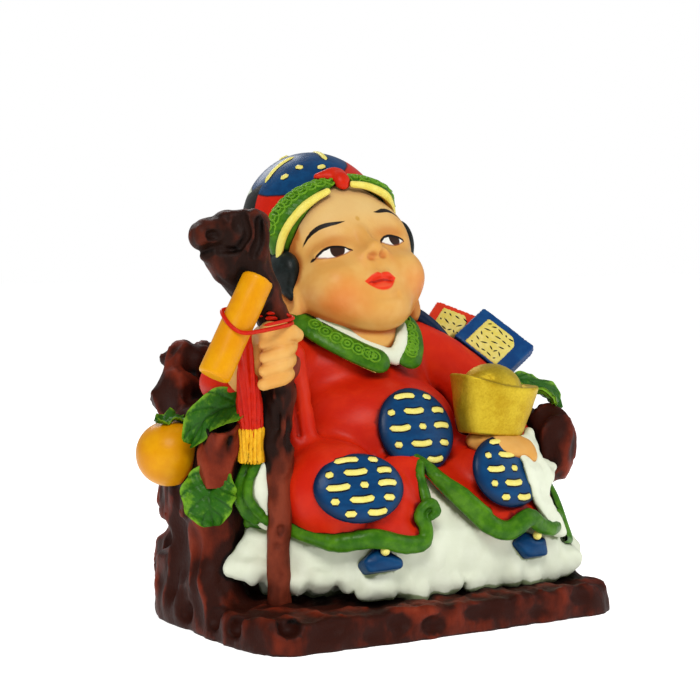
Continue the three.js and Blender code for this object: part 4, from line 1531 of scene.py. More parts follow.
@dataclass(frozen=True)
class Hands:
    """A fist round the staff and a cupped palm under the ingot."""

    staff: Pair = (-37.6, -20.6)
    height: float = 68.5
    ingot: Pair = (24.0, -24.5)

    def model(self, casting: Casting) -> None:
        """Adds the hands to a casting."""
        x, y = self.staff
        z = self.height
        fingers = []
        for i in range(4):
            h = z + 4.4 - 3.2 * i
            tuck = 0.5 * abs(i - 1.2)
            fingers.append(Limb(((x + 1.8 - tuck, y + 2.2, h + 1.2), (x + 1.6 - tuck, y - 3.0, h + 0.9),
                                 (x - 2.0, y - 6.2 + tuck, h - 0.2), (x - 6.0, y - 4.4 + tuck, h - 1.7)),
                                (1.85, 1.9, 1.85, 1.5)))
        palm = Melt((Egg((x - 2.2, y + 1.2, z + 0.2), (5.0, 5.9, 7.2)),
                     Limb(((x - 8.8, y + 10, z - 9.0), (x - 4.2, y + 3, z - 2.4)), (3.6, 4.6)),
                     Egg((x - 3.0, y - 2.6, z + 4.6), (4.0, 3.6, 2.8))), 2.0)
        thumb = Limb(moved((x, y, z), (-4.6, -3.6, 5.8), (-0.6, -5.6, 5.6), (2.2, -5.0, 4.6)),
                     (2.2, 2.1, 1.7))
        fist = Melt((Melt((palm, thumb), 1.0), *fingers), 0.7)
        casting.model(fist, (x - 16, y - 11, z - 13), (x + 9, y + 14, z + 12), 0.42, "skin",
                      across=even(OFF_FACE))
        ix, iy = self.ingot
        cup = Egg((ix + 1.6, iy - 1.0, 43.0), (9.4, 8.4, 3.8), (4, 10, -16))
        heel = Limb(((ix + 3, iy + 1, 42.6), (ix + 8.4, iy + 3.2, 42.6)), (4.0, 3.8))
        tips = [Limb(((ix + 6 - 3.0 * i, iy - 1.0, 42.4), (ix + 2.0 - 3.0 * i, iy - 5.2 + 1.4 * i, 42.9),
                      (ix - 3.2 - 1.6 * i, iy - 5.4 + 2.6 * i, 44.4)), (2.3, 2.2, 1.7)) for i in range(3)]
        side = Limb(((ix + 4.0, iy - 2.5, 43.0), (ix + 4.8, iy - 5.8, 42.4), (ix + 5.4, iy - 7.4, 40.8)),
                    (3.0, 3.0, 2.4))
        hand = Melt((Melt((cup, heel), 2), *tips, side), 0.9)
        casting.model(hand, (ix - 14, iy - 14, 35), (ix + 19, iy + 12, 50), 0.45, "skin",
                      across=even(OFF_FACE))


# Head, hat and collar

TILT = math.radians(27.5)
ROLL = math.radians(9.0)
HEAD = Frame.nodding((0, 6, 86), TILT)
FACE = Frame(np.array((-0.7, 6.4, 86.4)), Frame.rolled((0, 0, 0), ROLL).axes @ HEAD.axes)


@dataclass(frozen=True)
class Head:
    """The doll-like head with its ears and hair, leaning back."""

    lobes: Lumps = (
        ((0, 0, -3), (18, 14.4, 14.8)), ((0, 8.5, 13), (18.8, 19, 20)),
        ((0.6, 2.6, 10.5), (16.8, 14.6, 14)), ((0, -8.0, -13.2), (8.4, 5.0, 5.0)),
        ((11.2, 0, 8.4), (6.8, 9.4, 9.2)),
    )

    def features(self) -> Form:
        """Returns the nose, lips, lids and cheeks, in the face's own frame."""
        nose = Melt((Limb(((0, -12.2, 6.6), (0, -13.2, 4.0), (0, -14.0, 1.2)), (1.5, 1.9, 2.3)),
                     Egg((0, -14.2, 0.6), (2.4, 2.0, 1.9)),
                     *(Egg((side * 3.0, -12.9, 0.0), (1.9, 2.0, 1.6)) for side in BOTH)), 1.4)
        lips = Melt((Limb(((-5.3, -12.0, -7.4), (-2.4, -14.3, -6.7), (-1.0, -14.1, -7.2),
                           (0.4, -14.3, -6.9), (3.3, -12.0, -8.0)), (0.45, 1.05, 1.0, 1.05, 0.45)),
                     Limb(((-4.6, -12.0, -8.3), (-1.0, -13.4, -10.2), (2.6, -12.0, -8.9)),
                          (0.5, 1.3, 0.5))), 0.4)
        muzzle = Egg((-0.6, -8.6, -8.0), (6.6, 5.4, 5.4))
        lids = [Limb([(side * x, y, z) for x, y, z in
                      ((5.0, -12.5, 2.6), (6.8, -12.9, 4.3), (9.2, -12.5, 5.1), (11.8, -11.3, 4.6),
                       (14.4, -9.4, 3.3))], (0.5, 0.8, 0.9, 0.8, 0.4)) for side in BOTH]
        balls = [Egg((side * 9.2, -9.2, 3.4), (5.4, 3.5, 2.9), (0, 0, side * 22)) for side in BOTH]
        cheeks = [Egg((side * 9.6, -5.6, -5.0), (8.0, 8.0, 8.0)) for side in BOTH]
        return Melt((Melt((*cheeks, muzzle), 3.6), nose, lips, *lids, *balls), 1.5)

    def hollows(self) -> list[Form]:
        """Returns what is pressed into the face: sockets, nostrils and the mouth."""
        sockets = [Egg((side * 8.9, -14.1, 4.4), (5.4, 1.8, 4.4), (0, 0, side * 16)) for side in BOTH]
        nostrils = [Egg((side * 1.8, -14.9, -1.5), (0.7, 0.8, 0.4)) for side in BOTH]
        mouth = Limb(((-3.6, -13.8, -8.0), (-1, -15.1, -8.5), (1.6, -13.8, -8.4)), (0.35, 0.7, 0.35))
        dip = Limb(((-0.4, -15.4, -2.8), (-0.8, -15.4, -5.6)), 0.5)
        under = Limb(((-4.2, -14.0, -12.2), (-1, -14.6, -12.9), (2.2, -14.0, -12.5)), 0.7)
        return [Melt(sockets, 6.0), *nostrils, mouth, dip, under]

    def form(self) -> Form:
        """Returns the head's skin as one form."""
        skull = Melt([Egg(c, r) for c, r in self.lobes], 5.0)
        ears = Melt([Egg((side * 18.0, 3.6, -6.0), (3.2, 4.6, 6.2)) for side in BOTH], 0)
        whole = Melt((Leaned(Melt((skull, ears), 1.6), HEAD), Leaned(self.features(), FACE)), 1.8)
        sockets, *pressed = (Leaned(tool, FACE) for tool in self.hollows())
        cups = [Leaned(Egg((side * 20.4, 1.6, -5.4), (1.6, 2.2, 3.2)), HEAD) for side in BOTH]
        return Carved(Carved(whole, (sockets,), 3.2), (*pressed, *cups), 1.5)

    def model(self, casting: Casting) -> None:
        """Adds the head and the locks of hair to a casting."""
        casting.model(self.form(), (-22, -17, 68), (23, 41, 113), 0.5, "skin",
                      across=lambda p: FACE.inward(p)[:, 0], ahead=lambda p: FACE.inward(p)[:, 1],
                      upward=lambda p: FACE.inward(p)[:, 2])
        temples = {-1: Egg((-18.6, 2, 5), (2, 3, 3)), 1: Egg((19.4, 0.6, 10.6), (2.6, 5.0, 6.4))}
        for side, temple in temples.items():
            lock = Melt((temple, Egg((side * 18.4, 2.4, 2.6), (3.7, 6.0, 5.8)),
                         Limb(((side * 18.6, 1.6, -2.0), (side * 18.6, 1.0, -4.6)), (2.4, 1.4)),
                         Egg((side * 17.6, 8, 9), (3.4, 7, 8))), 1.0)
            centre = HEAD.spot(side * 18.4, 3, 3)
            casting.model(Leaned(lock, HEAD), centre - (6, 12, 13), centre + (6, 12, 17), 0.55, "hair")


@dataclass(frozen=True)
class Hat:
    """The round hat: a painted crown, an embossed green band, its pale trim and a red knot."""

    crown: Egg = Egg((0, 10.5, 19.5), (19.8, 19.2, 21.6))
    half_width: float = 18.6
    depth: float = 11.8
    low: float = 6.0
    climb: float = 16.5
    spread: float = 1.75
    knotted: int = 12
    disc_axis: Point = (-0.360, -0.520, 0.775)
    disc_reach: float = 0.752
    disc_scale: float = 32.0
    bars: Sequence[Line] = (
        ((-15.8, 4.0, 30.2), (-12.0, 2.2, 34.2), (-6.9, 0.7, 36.5)),
        ((-9.6, -2.6, 31.8), (-8.3, -4.0, 30.4)),
        ((0.3, 1.3, 38.6), (0.0, -1.6, 36.6), (-0.9, -4.7, 32.6)),
        ((-14.2, -1.0, 29.6), (-12.4, -2.4, 30.0)),
        ((-5.6, -6.4, 30.0), (-3.4, -6.8, 31.2)),
        ((-8.4, 5.6, 38.2), (-5.4, 5.2, 39.2)),
    )

    def line(self, out: float, up: float, count: int = 19) -> list[Point]:
        """Draws a line that runs along the band.

        Args:
            out: How far it is outside the band's lower edge.
            up: How far it is above it.
            count: How many points it has.

        Returns:
            The line's points in the head's frame.
        """
        points = []
        for i in range(count):
            side = i / (count - 1) * 2 - 1
            angle = side * self.spread
            turned = max(side - 0.35, 0)
            rise = self.low + self.climb * (1 - abs(side) ** 1.5) + 3.6 * max(side, 0) + 4 * turned
            points.append(((self.half_width + out) * math.sin(angle) - 1.5 * turned,
                           2 - (self.depth + out) * math.cos(angle) + up * 0.4 + 15 * turned
                           - 5 * max(-side - 0.4, 0), rise + up))
        return points

    def disc(self, p: Array) -> Array:
        """Returns the distance from the blue disc's edge, negative inside it."""
        q = (HEAD.inward(p) - np.array(self.crown.centre)) / np.array(self.crown.radii)
        return self.disc_scale * (self.disc_reach - q @ np.array(self.disc_axis))

    def back(self, p: Array) -> Array:
        """Returns how far behind the hat's red front a place is, to the pale patch."""
        q = HEAD.inward(p)
        return q[:, 1] - 5.0 + 0.35 * (q[:, 2] - 31)

    def nape(self, p: Array) -> Array:
        """Returns how far below the hat's back a place is, down to the hair."""
        q = HEAD.inward(p)
        return 31.0 - q[:, 2] + 0.1 * (q[:, 1] - 10)

    def model(self, casting: Casting) -> None:
        """Adds the hat to a casting."""
        cut = Slab(Frame.nodding((0, 2, -7.5), -0.42), (40, 40, 20), 0.2)
        crown = Leaned(Carved(self.crown, (cut,), 1), HEAD)
        casting.model(crown, (-21, -14, 80), (21, 46, 121), 0.62, "crown",
                      disc=self.disc, back=self.back, nape=self.nape)
        reach = (2.8, 4.2, 4.7, 4.4, 2.8, 1.6, 3.4, 4.4, 4.5, 4.0, 2.8)
        band = Leaned(Limb(self.line(-0.3, 2.3), reach, 0.45, (0, -0.6, 0.8), 2), HEAD)
        casting.model(band, (-23, -11, 86), (23, 32, 117), 0.6, "green")
        edge = self.line(1.6, -1.2)
        trim = Leaned(Melt((Limb(edge[:8], (0.9, 1.1, 1.2, 1.2, 0.9)),
                            Limb(edge[9:], (0.9, 1.15, 1.2, 1.2, 1.0))), 0), HEAD)
        casting.model(trim, (-23, -11, 86), (23, 32, 113), 0.5, "trim")
        knot = Leaned(Melt((Egg((-2.2, -10.8, 22.9), (2.3, 1.7, 2.6)),
                            Egg((-2.4, -9.0, 25.4), (3.4, 1.6, 2.4)),
                            Egg((-5.4, -8.2, 25.4), (3.2, 1.4, 1.4))), 1.6), HEAD)
        casting.model(knot, (-12, -8, 100), (6, 14, 119), 0.5, "red")
        self.emboss(casting, band)
        frame = Frame.facing(HEAD.spot(-8.5, 1.2, 36), HEAD.axes.T @ np.array((-0.5, -0.48, 0.72)))
        paths = [frame.inward(HEAD.outward(np.array(bar)))[:, :2] for bar in self.bars]
        casting.write(crown, frame, paths, 1.7, 0.45)

    def emboss(self, casting: Casting, band: Form) -> None:
        """Presses a row of small rings onto the green band, but none under the knot.

        Args:
            casting: The casting that the rings belong to.
            band: The band's form.
        """
        middle = np.array(self.line(1.0, 2.3, 25))
        places = HEAD.outward(middle)
        outward = HEAD.outward(middle * (1.2, 1.3, 1.05) + (0, -2, 2)) - places
        kept = [i for i in range(2, len(middle) - 2) if i != self.knotted]
        for place, normal in zip(places[kept], outward[kept]):
            for radius, rise in ((1.9, 0.5), (0.8, 0.42)):
                casting.ring(band, Frame.facing(place, normal), radius, rise, 12)


@dataclass(frozen=True)
class Collar:
    """The neck, the white undershirt and the embossed green lapels."""

    left: Line = (
        (-17.4, 2.0, 75.0), (-14.6, -3.6, 71.8), (-10.4, -7.4, 68.9), (-5.8, -10.0, 66.4),
        (-3.0, -11.0, 65.2),
    )
    right: Line = (
        (9.8, 0.0, 76.0), (10.8, -4.2, 72.6), (9.4, -7.8, 69.0), (8.0, -9.4, 67.0), (7.4, -10.0, 66.0),
    )
    under: Sequence[tuple[Line, float]] = (
        (((-12.5, -0.5, 75.4), (-7.4, -5.0, 71.4), (-1.6, -8.4, 67.6), (3.6, -9.3, 65.6)), 2.2),
        (((9.2, -1.6, 76.0), (8.0, -5.6, 72.6), (5.8, -8.8, 69.2), (4.0, -9.6, 66.8)), 1.9),
    )

    def model(self, casting: Casting) -> None:
        """Adds the collar to a casting."""
        neck = Egg((0, 4, 71), (12.3, 12.8, 8.4), (11, 0, 0))
        casting.model(neck, (-14, -11, 61), (14, 18, 81), 0.7, "skin", across=even(OFF_FACE))
        outward = (-0.05, -0.82, 0.57)
        for line, reach in ((self.left, 3.7), (self.right, 3.9)):
            form = Limb(line, reach, 0.36, outward, 4)
            casting.model(form, *around(line, 5), 0.5, "green")
            for place in curve(line, 4)[2:-1:2]:
                for radius in (1.7, 0.65):
                    casting.ring(form, Frame.facing(place + (0, -1.4, 0.9), outward), radius, 0.3, 10)
        edge = np.array(self.left) + (-0.8, -1.6, -2.9)
        casting.lay("gold", tube(curve(edge, 6), 0.33))
        under = Melt([Limb(line, reach, 0.6, (0, -0.8, 0.6)) for line, reach in self.under], 0.8)
        casting.model(under, (-17, -14, 60), (16, 5, 80), 0.6, "white")
        cape = Limb(((15, 4.4, 78), (21, 4, 75), (25.6, 3.4, 71.4), (28.6, 2.6, 67.6)), 2.0, 0.8)
        casting.model(cape, (11, -2, 63), (33, 10, 82), 0.6, "blue", border=even(1.2))


@dataclass(frozen=True)
class Book:
    """A thread-bound book with rounded corners, a cover label and its tie."""

    corner: Point
    spine: Point
    width: Point
    thickness: float
    finish: str
    label: tuple[float, float, float, float]
    ties: int = 0

    def model(self, casting: Casting) -> None:
        """Adds the book to a casting."""
        spine, width = np.array(self.spine), np.array(self.width)
        long, wide = np.linalg.norm(spine), np.linalg.norm(width)
        x = spine / long
        z = unit(np.cross(width, spine))
        y = np.cross(z, x)
        centre = np.array(self.corner) + spine / 2 + width / 2 - z * self.thickness / 2
        frame = Frame(centre, np.array((x, y, z)))
        cover = Slab(frame, (long / 2, wide / 2, self.thickness / 2), 1.0)
        rows = [(side, h) for side in BOTH for h in np.linspace(-0.3, 0.3, 3) * self.thickness]
        lines = [((-long, side * wide / 2, h), (long, side * wide / 2, h)) for side, h in rows]
        lines += [((side * long / 2, -wide, h), (side * long / 2, wide, h)) for side, h in rows]
        grooves = [Rod(frame.spot(*start), frame.spot(*end), 0.38) for start, end in lines]
        casting.model(Carved(cover, grooves, 0.4), *around(centre, 12), 0.6, self.finish)
        pages = Slab(Frame(frame.spot(0, -0.4, 0), frame.axes),
                     (long / 2 - 0.8, wide / 2, self.thickness / 2 - 1.1), 0.3)
        casting.model(pages, *around(centre, 12), 0.6, "paper")
        for i in range(self.ties):
            ends = np.array([(1.6 + 2.2 * i - long / 2, -wide / 2 - 0.3, h) for h in (-1.7, 0, 1.7)])
            casting.lay("gold", tube(curve(frame.outward(ends), 3), 0.42))
        x0, x1, y0, y1 = self.label
        top = frame.spot((x0 + x1) / 2, (y0 + y1) / 2, self.thickness / 2 + 0.25)
        place = Frame(top, frame.axes)
        a, b = (x1 - x0) / 2, (y1 - y0) / 2
        plate = Plate(place, ((-a, -b), (a, -b), (a, b * 0.6), (a * 0.6, b), (-a, b)), 1.0, 0.1, 0.5)
        casting.model(plate, *around(top, 9), 0.5, "paper")
        rng = np.random.default_rng(int(long * 10))
        for row in np.linspace(-b * 0.74, b * 0.74, 5):
            spot = -a * 0.78
            while spot < a * 0.7:
                size = rng.uniform(0.6, 2.2)
                slope = rng.uniform(-1.2, 1.2)
                path = ((spot, row + slope * 0.5), (spot + size, row - slope * 0.5))
                casting.lay("ink", ribbon(*settle(plate, place, curve(path, 3)), 0.42, 0.18))
                spot += size + rng.uniform(0.3, 0.9)


# The two glued-on castings

@dataclass(frozen=True)
class Staff:
    """The root staff with a dragon's head, a scroll tied with a cord, and a tassel."""

    foot: Pair = (-37.6, -20.6)

    def relief(self, p: Array) -> Array:
        """Returns the bark's rise: deep pits under the fist, smoother lower down."""
        deep = ease(36, 50, p[:, 2]) * ease(84, 70, p[:, 2])
        upright = p * np.array((1, 1, 0.5))
        return ((0.3 + 1.2 * deep) * cloud(upright, 3.2, 2, 12) + 0.3 * cloud(upright, 1.7, 1, 2)
                + 0.4 * cloud(p, 7, 1, 3) - 0.2 * deep)

    def tone(self, p: Array) -> Array:
        """Returns the rise used for the paint, which is paler on the lower shaft."""
        return self.relief(p) + 1.2 * ease(50, 36, p[:, 2])

    def by(self, *steps: Point) -> list[Point]:
        """Returns places given from the staff's foot."""
        return moved((*self.foot, 0.0), *steps)

    def eggs(self, *lumps: tuple[Point, Point]) -> list[Egg]:
        """Returns lumps given by their places from the staff's foot and their radii."""
        return [Egg(*self.by(place), radii) for place, radii in lumps]

    def form(self) -> Form:
        """Returns the staff and the dragon's head as one form."""
        shaft = Limb(self.by((0, 0, 5.6), (0.1, 0, 22), (0.1, 0, 38), (-0.1, 0, 52), (-0.3, 0, 64),
                             (-0.8, 0, 76), (-4.4, 1, 84), (-7.6, 1.6, 91)),
                     (2.95, 2.9, 3.0, 3.6, 4.1, 3.8, 4.6, 5.4))
        head = Melt((*self.eggs(((-9, 2, 95.5), (7, 5.4, 6.4)), ((-15.2, 2, 97.4), (6.4, 4, 3.6)),
                                ((-13.5, 2, 91.8), (6, 3.4, 2.3)), ((-6.4, 1.5, 98.8), (4.4, 4.2, 4.2)),
                                ((-12, 2, 101), (3.6, 3.4, 1.6)), ((-20, 2, 96.6), (2.4, 3.4, 3))),
                     Limb(self.by((-8, -2.4, 101.5), (-5.4, -3.2, 97), (-7, -3.4, 92)), 1.4),
                     Limb(self.by((-10.4, -2.2, 101.4), (-9.4, -3.4, 97.6), (-11, -3.6, 93.6)), 1.2)), 1.3)
        hold = Melt((Limb(self.by((-3, 0, 84), (-9.4, -3.4, 80)), 3.4),
                     Limb(self.by((-6, 1.8, 84), (-11, 2, 89.6)), (5, 5.4))), 1.0)
        pits = (*self.eggs(((-18.4, -2.2, 96.8), (1.9, 1.9, 1.3)), ((-14.6, -1.9, 93.4), (2.4, 1.2, 0.8)),
                           ((-19.6, -1.4, 92.6), (2, 2.2, 0.8)), ((-1, -3.1, 26.2), (1.2, 1.4, 1.6))),
                Limb(self.by((-11.2, -3, 101.4), (-10.4, -4, 97), (-12, -3.2, 94)), 0.8),
                *self.eggs(((-2.1, -2.9, 22.5), (1.3, 1.4, 0.8))),
                Limb(self.by((-7.2, -3.6, 100.5), (-7.6, -4.4, 96), (-9.2, -4.4, 92)), 0.7))
        rough = Rough(Melt((shaft, head, hold), 2.4), self.relief, 1.4)
        return Carved(rough, pits, 0.8)

    def model(self, casting: Casting) -> None:
        """Adds the staff, its scroll, cord and tassel to a casting."""
        casting.model(self.form(), *self.by((-24, -9, 4.6), (8, 10, 105)), 0.5, "staffwood", rise=self.tone)
        roll = grainy(Rod(*self.by((-8.7, -5.9, 86.9), (-20.7, -5.9, 64.1)), 3.85, 0.9), 0.1, 6, 3, 0.3)
        nicked = Carved(roll, self.eggs(((-7, -8.5, 87), (0.9, 1.2, 1.1))), 0.5)
        casting.model(nicked, *self.by((-25, -11, 60), (-2, 0, 93)), 0.5, "fruit")
        line = self.by((-5.5, -2.4, 77.6), (-11.5, -1.6, 79.4), (-16.4, -3, 79.4), (-18, -5.9, 78.1),
                       (-17.4, -9, 75.6), (-15.1, -10.4, 74.3), (-9.8, -9.4, 74.6), (-1.6, -7.4, 75.7),
                       (0.9, -4.6, 76.2), (-1.4, -3, 77.1), (-5.5, -3.4, 77.2))
        casting.lay("cord", tube(curve(line, 6), 0.52))
        casting.lay("cord", tube(curve(moved((0.2, -0.2, 1.2), *line[6:]), 6), 0.42))
        bundle = Limb(self.by((-10.6, -3.6, 75), (-9.4, -0.8, 69.5), (-8, 0.8, 63), (-6.9, 1.8, 56),
                              (-6.2, 2.4, 49.8)), (0.9, 1.5, 2.3, 2.9, 2.8))
        fringe = Rod(*self.by((-6.2, 2.4, 51), (-5.8, 2.8, 42.6)), 3.1, 0.7)
        for form, low, high, finish in ((bundle, (-15, -8, 45), (-2, 7, 79), "cord"),
                                        (fringe, (-12, -3, 40), (-2.5, 7.5, 53), "fringe")):
            casting.model(Rough(form, self.strands, 0.6), *self.by(low, high), 0.42, finish)

    def strands(self, p: Array) -> Array:
        """Returns the upright grooves of the tassel."""
        x, y = self.foot
        turn = np.arctan2(p[:, 1] - y - 1.6, p[:, 0] - x + 7.0)
        return 0.34 * np.sin(12 * turn + 0.25 * p[:, 2]) + 0.12 * cloud(p, 1.6, 1, 4)


@dataclass(frozen=True)
class Ingot:
    """The boat-shaped gold ingot with flaring walls and a dome."""

    centre: Pair = (22.9, -24.3)
    bottom: float = 46.0
    height: float = 12.8
    half_length: float = 12.2
    half_width: float = 8.2
    list_deg: float = 6.0

    def form(self) -> Form:
        """Returns the ingot as one form."""
        h, a, b = self.height, self.half_length, self.half_width
        walls = Pile((0, 0), ((0, a * 0.7, b * 0.7), (4, a * 0.8, b * 0.8), (h, a, b)), 2.6, 0.7)
        scoop = Egg((0, 0, h + 3.0), (a - 0.9, b - 0.9, 6.0))
        dome = Egg((-0.8, 0, h - 0.9), (8.3, 6.9, 6.3))
        cup = Raised(Carved(walls, (scoop,), 0.5), 3.0, a, 1.5, 5, h)
        rough = Rough(Melt((cup, dome), 0.7),
                      lambda p: 0.05 * cloud(p, 1.4, 2, 5) + 0.1 * cloud(p, 6, 1, 2), 0.3)
        frame = Frame.rolled((*self.centre, self.bottom), -math.radians(self.list_deg))
        return Leaned(rough, frame)

    def model(self, casting: Casting) -> None:
        """Adds the ingot to a casting."""
        box = moved((*self.centre, 0), (-15, -11, 43), (16, 11, 68))
        casting.model(self.form(), *box, 0.42, "metal")


# Finishes

@dataclass(frozen=True)
class Brushed:
    """A satin paint brushed over the resin, with painted shade and the paint's dark wash in its hollows."""

    name: str
    main: Colour
    dark: Colour
    light: Colour
    rough: float = 0.36
    grain: float = 3.0
    shade_and_wash_strength: float = 1.0
    bump: float = 0.12

    def shade_and_wash_hollows(self, shader: Shader, colour: Value, dark: Colour, amount: float = 1.0) -> Value:
        """Paints shade, together with the paint's dark wash, into creases and hollows by darkening a colour
        there.

        Args:
            shader: The material being built.
            colour: The colour in the open.
            dark: The colour of the painted shade deep in a hollow.
            amount: How strongly it darkens.

        Returns:
            The darkened colour.
        """
        mottle = shader.noise(2.2, 4)
        # Painted shade and wash: darker where the casting is closed in, mottled by noise.
        hollow_darkening = (shader.data("crevice") * 1.9 + shader.data("hollow") * 1.35 + mottle * 0.5 - 1.05)
        return shader.mix((hollow_darkening * amount).step(0.05, 1.05), colour, dark)

    def build(self) -> bpy.types.Material:
        """Makes the material."""
        shader = Shader(self.name)
        brush = shader.noise(self.grain, 4, 0.6)
        broad = shader.noise(self.grain * 5, 2)
        worn = brush.step(0.35, 0.75) * 0.55 + broad.step(0.3, 0.8) * 0.3
        colour = shader.mix(worn, self.main, self.light)
        colour = self.shade_and_wash_hollows(shader, colour, self.dark, self.shade_and_wash_strength)
        fine = shader.noise(0.7, 3, 0.6)
        normal = shader.bump(brush * 0.6 + fine * 0.4, self.bump)
        return shader.finish(base_color=colour, roughness=self.rough - 0.06 + fine * 0.14, normal=normal,
                             coat_weight=0.03, coat_roughness=0.25)


@dataclass(frozen=True)
class BarkPaint(Brushed):
    """Red-brown paint over a dark wood colour: dry-brushed bright on ridges, with painted shade near black
    in its pits, hollows and the stump's well.
    """

    def build(self) -> bpy.types.Material:
        """Makes the material."""
        shader = Shader(self.name)
        broad = shader.noise(11, 3, 0.6)
        streak = shader.noise(3.2, 4, 0.6, (1, 1, 0.45))
        # Lighter on raised bark, as dry-brushing; darker near hollows, as painted shade.
        high = shader.data("rise") * 0.34 + broad * 1.1 + streak * 0.5 - shader.data("hollow") * 1.5
        colour = shader.mix(high.step(0.5, 1.15), self.main, self.light)
        pale = (high + shader.noise(1.6, 2) * 0.3).step(1.1, 1.55)
        colour = shader.mix(pale * 0.45, colour, paint(156, 70, 46))
        # Painted shade: near black in creases, hollows and the stump's well.
        deep = (shader.data("crevice") * 1.4 + shader.data("hollow") * 1.4 + shader.data("pitch") * 4.0
                - streak * 0.5).step(0.28, 0.95)
        colour = shader.mix(deep, colour, self.dark)
        fine = shader.noise(0.8, 4, 0.65)
        normal = shader.bump(streak * 0.7 + fine * 0.35, 0.3)
        return shader.finish(base_color=colour, roughness=0.4 + fine * 0.2, normal=normal,
                             specular_ior_level=0.09)


@dataclass(frozen=True)
class LeafPaint(Brushed):
    """Green leaf paint with a bright rim that is dry-brushed and a painted highlight, and painted shade in
    its folds.
    """

    def build(self) -> bpy.types.Material:
        """Makes the material."""
        shader = Shader(self.name)
        brush = shader.noise(1.8, 4, 0.6)
        # Brighter towards the edge: a painted highlight along with the dry-brushing.
        high = brush * 1.1 + shader.data("rim") ** 5.0 * 0.5 - shader.data("vein") * 0.3
        colour = shader.mix(high.step(0.55, 1.05), self.main, self.light)
        # Painted shade: darker in the veins and along the rib.
        fold = (shader.data("vein") * 0.6 + 0.4 - brush * 0.6).step(0.35, 1.0)
        colour = shader.mix(fold, colour, self.dark)
        colour = self.shade_and_wash_hollows(shader, colour, self.dark, self.shade_and_wash_strength)
        normal = shader.bump(brush, 0.28)
        return shader.finish(base_color=colour, roughness=0.3 + brush * 0.14, normal=normal,
                             coat_weight=0.05, coat_roughness=0.2)


@dataclass(frozen=True)
class Badge(Brushed):
    """Blue enamel-like paint that deepens towards the badge's rim."""

    def build(self) -> bpy.types.Material:
        """Makes the material."""
        shader = Shader(self.name)
        streak = shader.noise(2.6, 3, 0.6, (0.5, 1, 1.6))
        colour = shader.mix(streak.step(0.3, 0.75) * 0.6, self.main, self.light)
        rim = (shader.data("border") + streak * 0.16 - 0.08).step(0.8, 1.02)
        colour = shader.mix(rim * 0.85, colour, self.dark)
        colour = self.shade_and_wash_hollows(shader, colour, self.dark, 0.8)
        fine = shader.noise(0.9, 3)
        return shader.finish(base_color=colour, roughness=0.28 + fine * 0.12,
                             normal=shader.bump(fine, 0.08), coat_weight=0.05, coat_roughness=0.2)


@dataclass(frozen=True)
class CrownPaint(Brushed):
    """The hat's crown: a blue disc on red, a pale patch behind and hair below."""

    def build(self) -> bpy.types.Material:
        """Makes the material."""
        shader = Shader(self.name)
        brush = shader.noise(2.4, 4)
        wobble = (shader.noise(3.0, 2) - 0.5) * 0.9
        red = shader.mix(brush.step(0.4, 0.8) * 0.5, self.main, self.light)
        blue = shader.mix(brush.step(0.3, 0.75) * 0.6, Paint.BLUE, paint(10, 76, 126))
        pale = shader.mix(brush * 0.6, Paint.WHITE, paint(178, 202, 186))
        behind = (shader.data("back") + wobble).step(-0.2, 0.2)
        colour = shader.mix(behind, red, pale)
        edge = shader.data("disc") + wobble * 0.5
        colour = shader.mix(edge.step(0.9, 0.2), colour, Paint.INK_AND_SHADE)
        colour = shader.mix(edge.step(0.35, -0.1), colour, blue)
        hair = (shader.data("nape") + wobble).step(-0.2, 0.3) * (shader.data("back") + 0.6).step(0.0, 0.5)
        colour = shader.mix(hair, colour, Paint.HAIR)
        colour = self.shade_and_wash_hollows(shader, colour, self.dark, 0.8)
        fine = shader.noise(0.9, 3)
        return shader.finish(base_color=colour, roughness=0.28 + fine * 0.14,
                             normal=shader.bump(brush * 0.5 + fine * 0.3, 0.1),
                             coat_weight=0.04, coat_roughness=0.2)


def oval(x: Value, y: Value, half_width: float, half_height: float) -> Value:
    """Returns 1 on the edge of an oval, and less inside it."""
    return ((x / half_width) ** 2.0 + (y / half_height) ** 2.0).root()


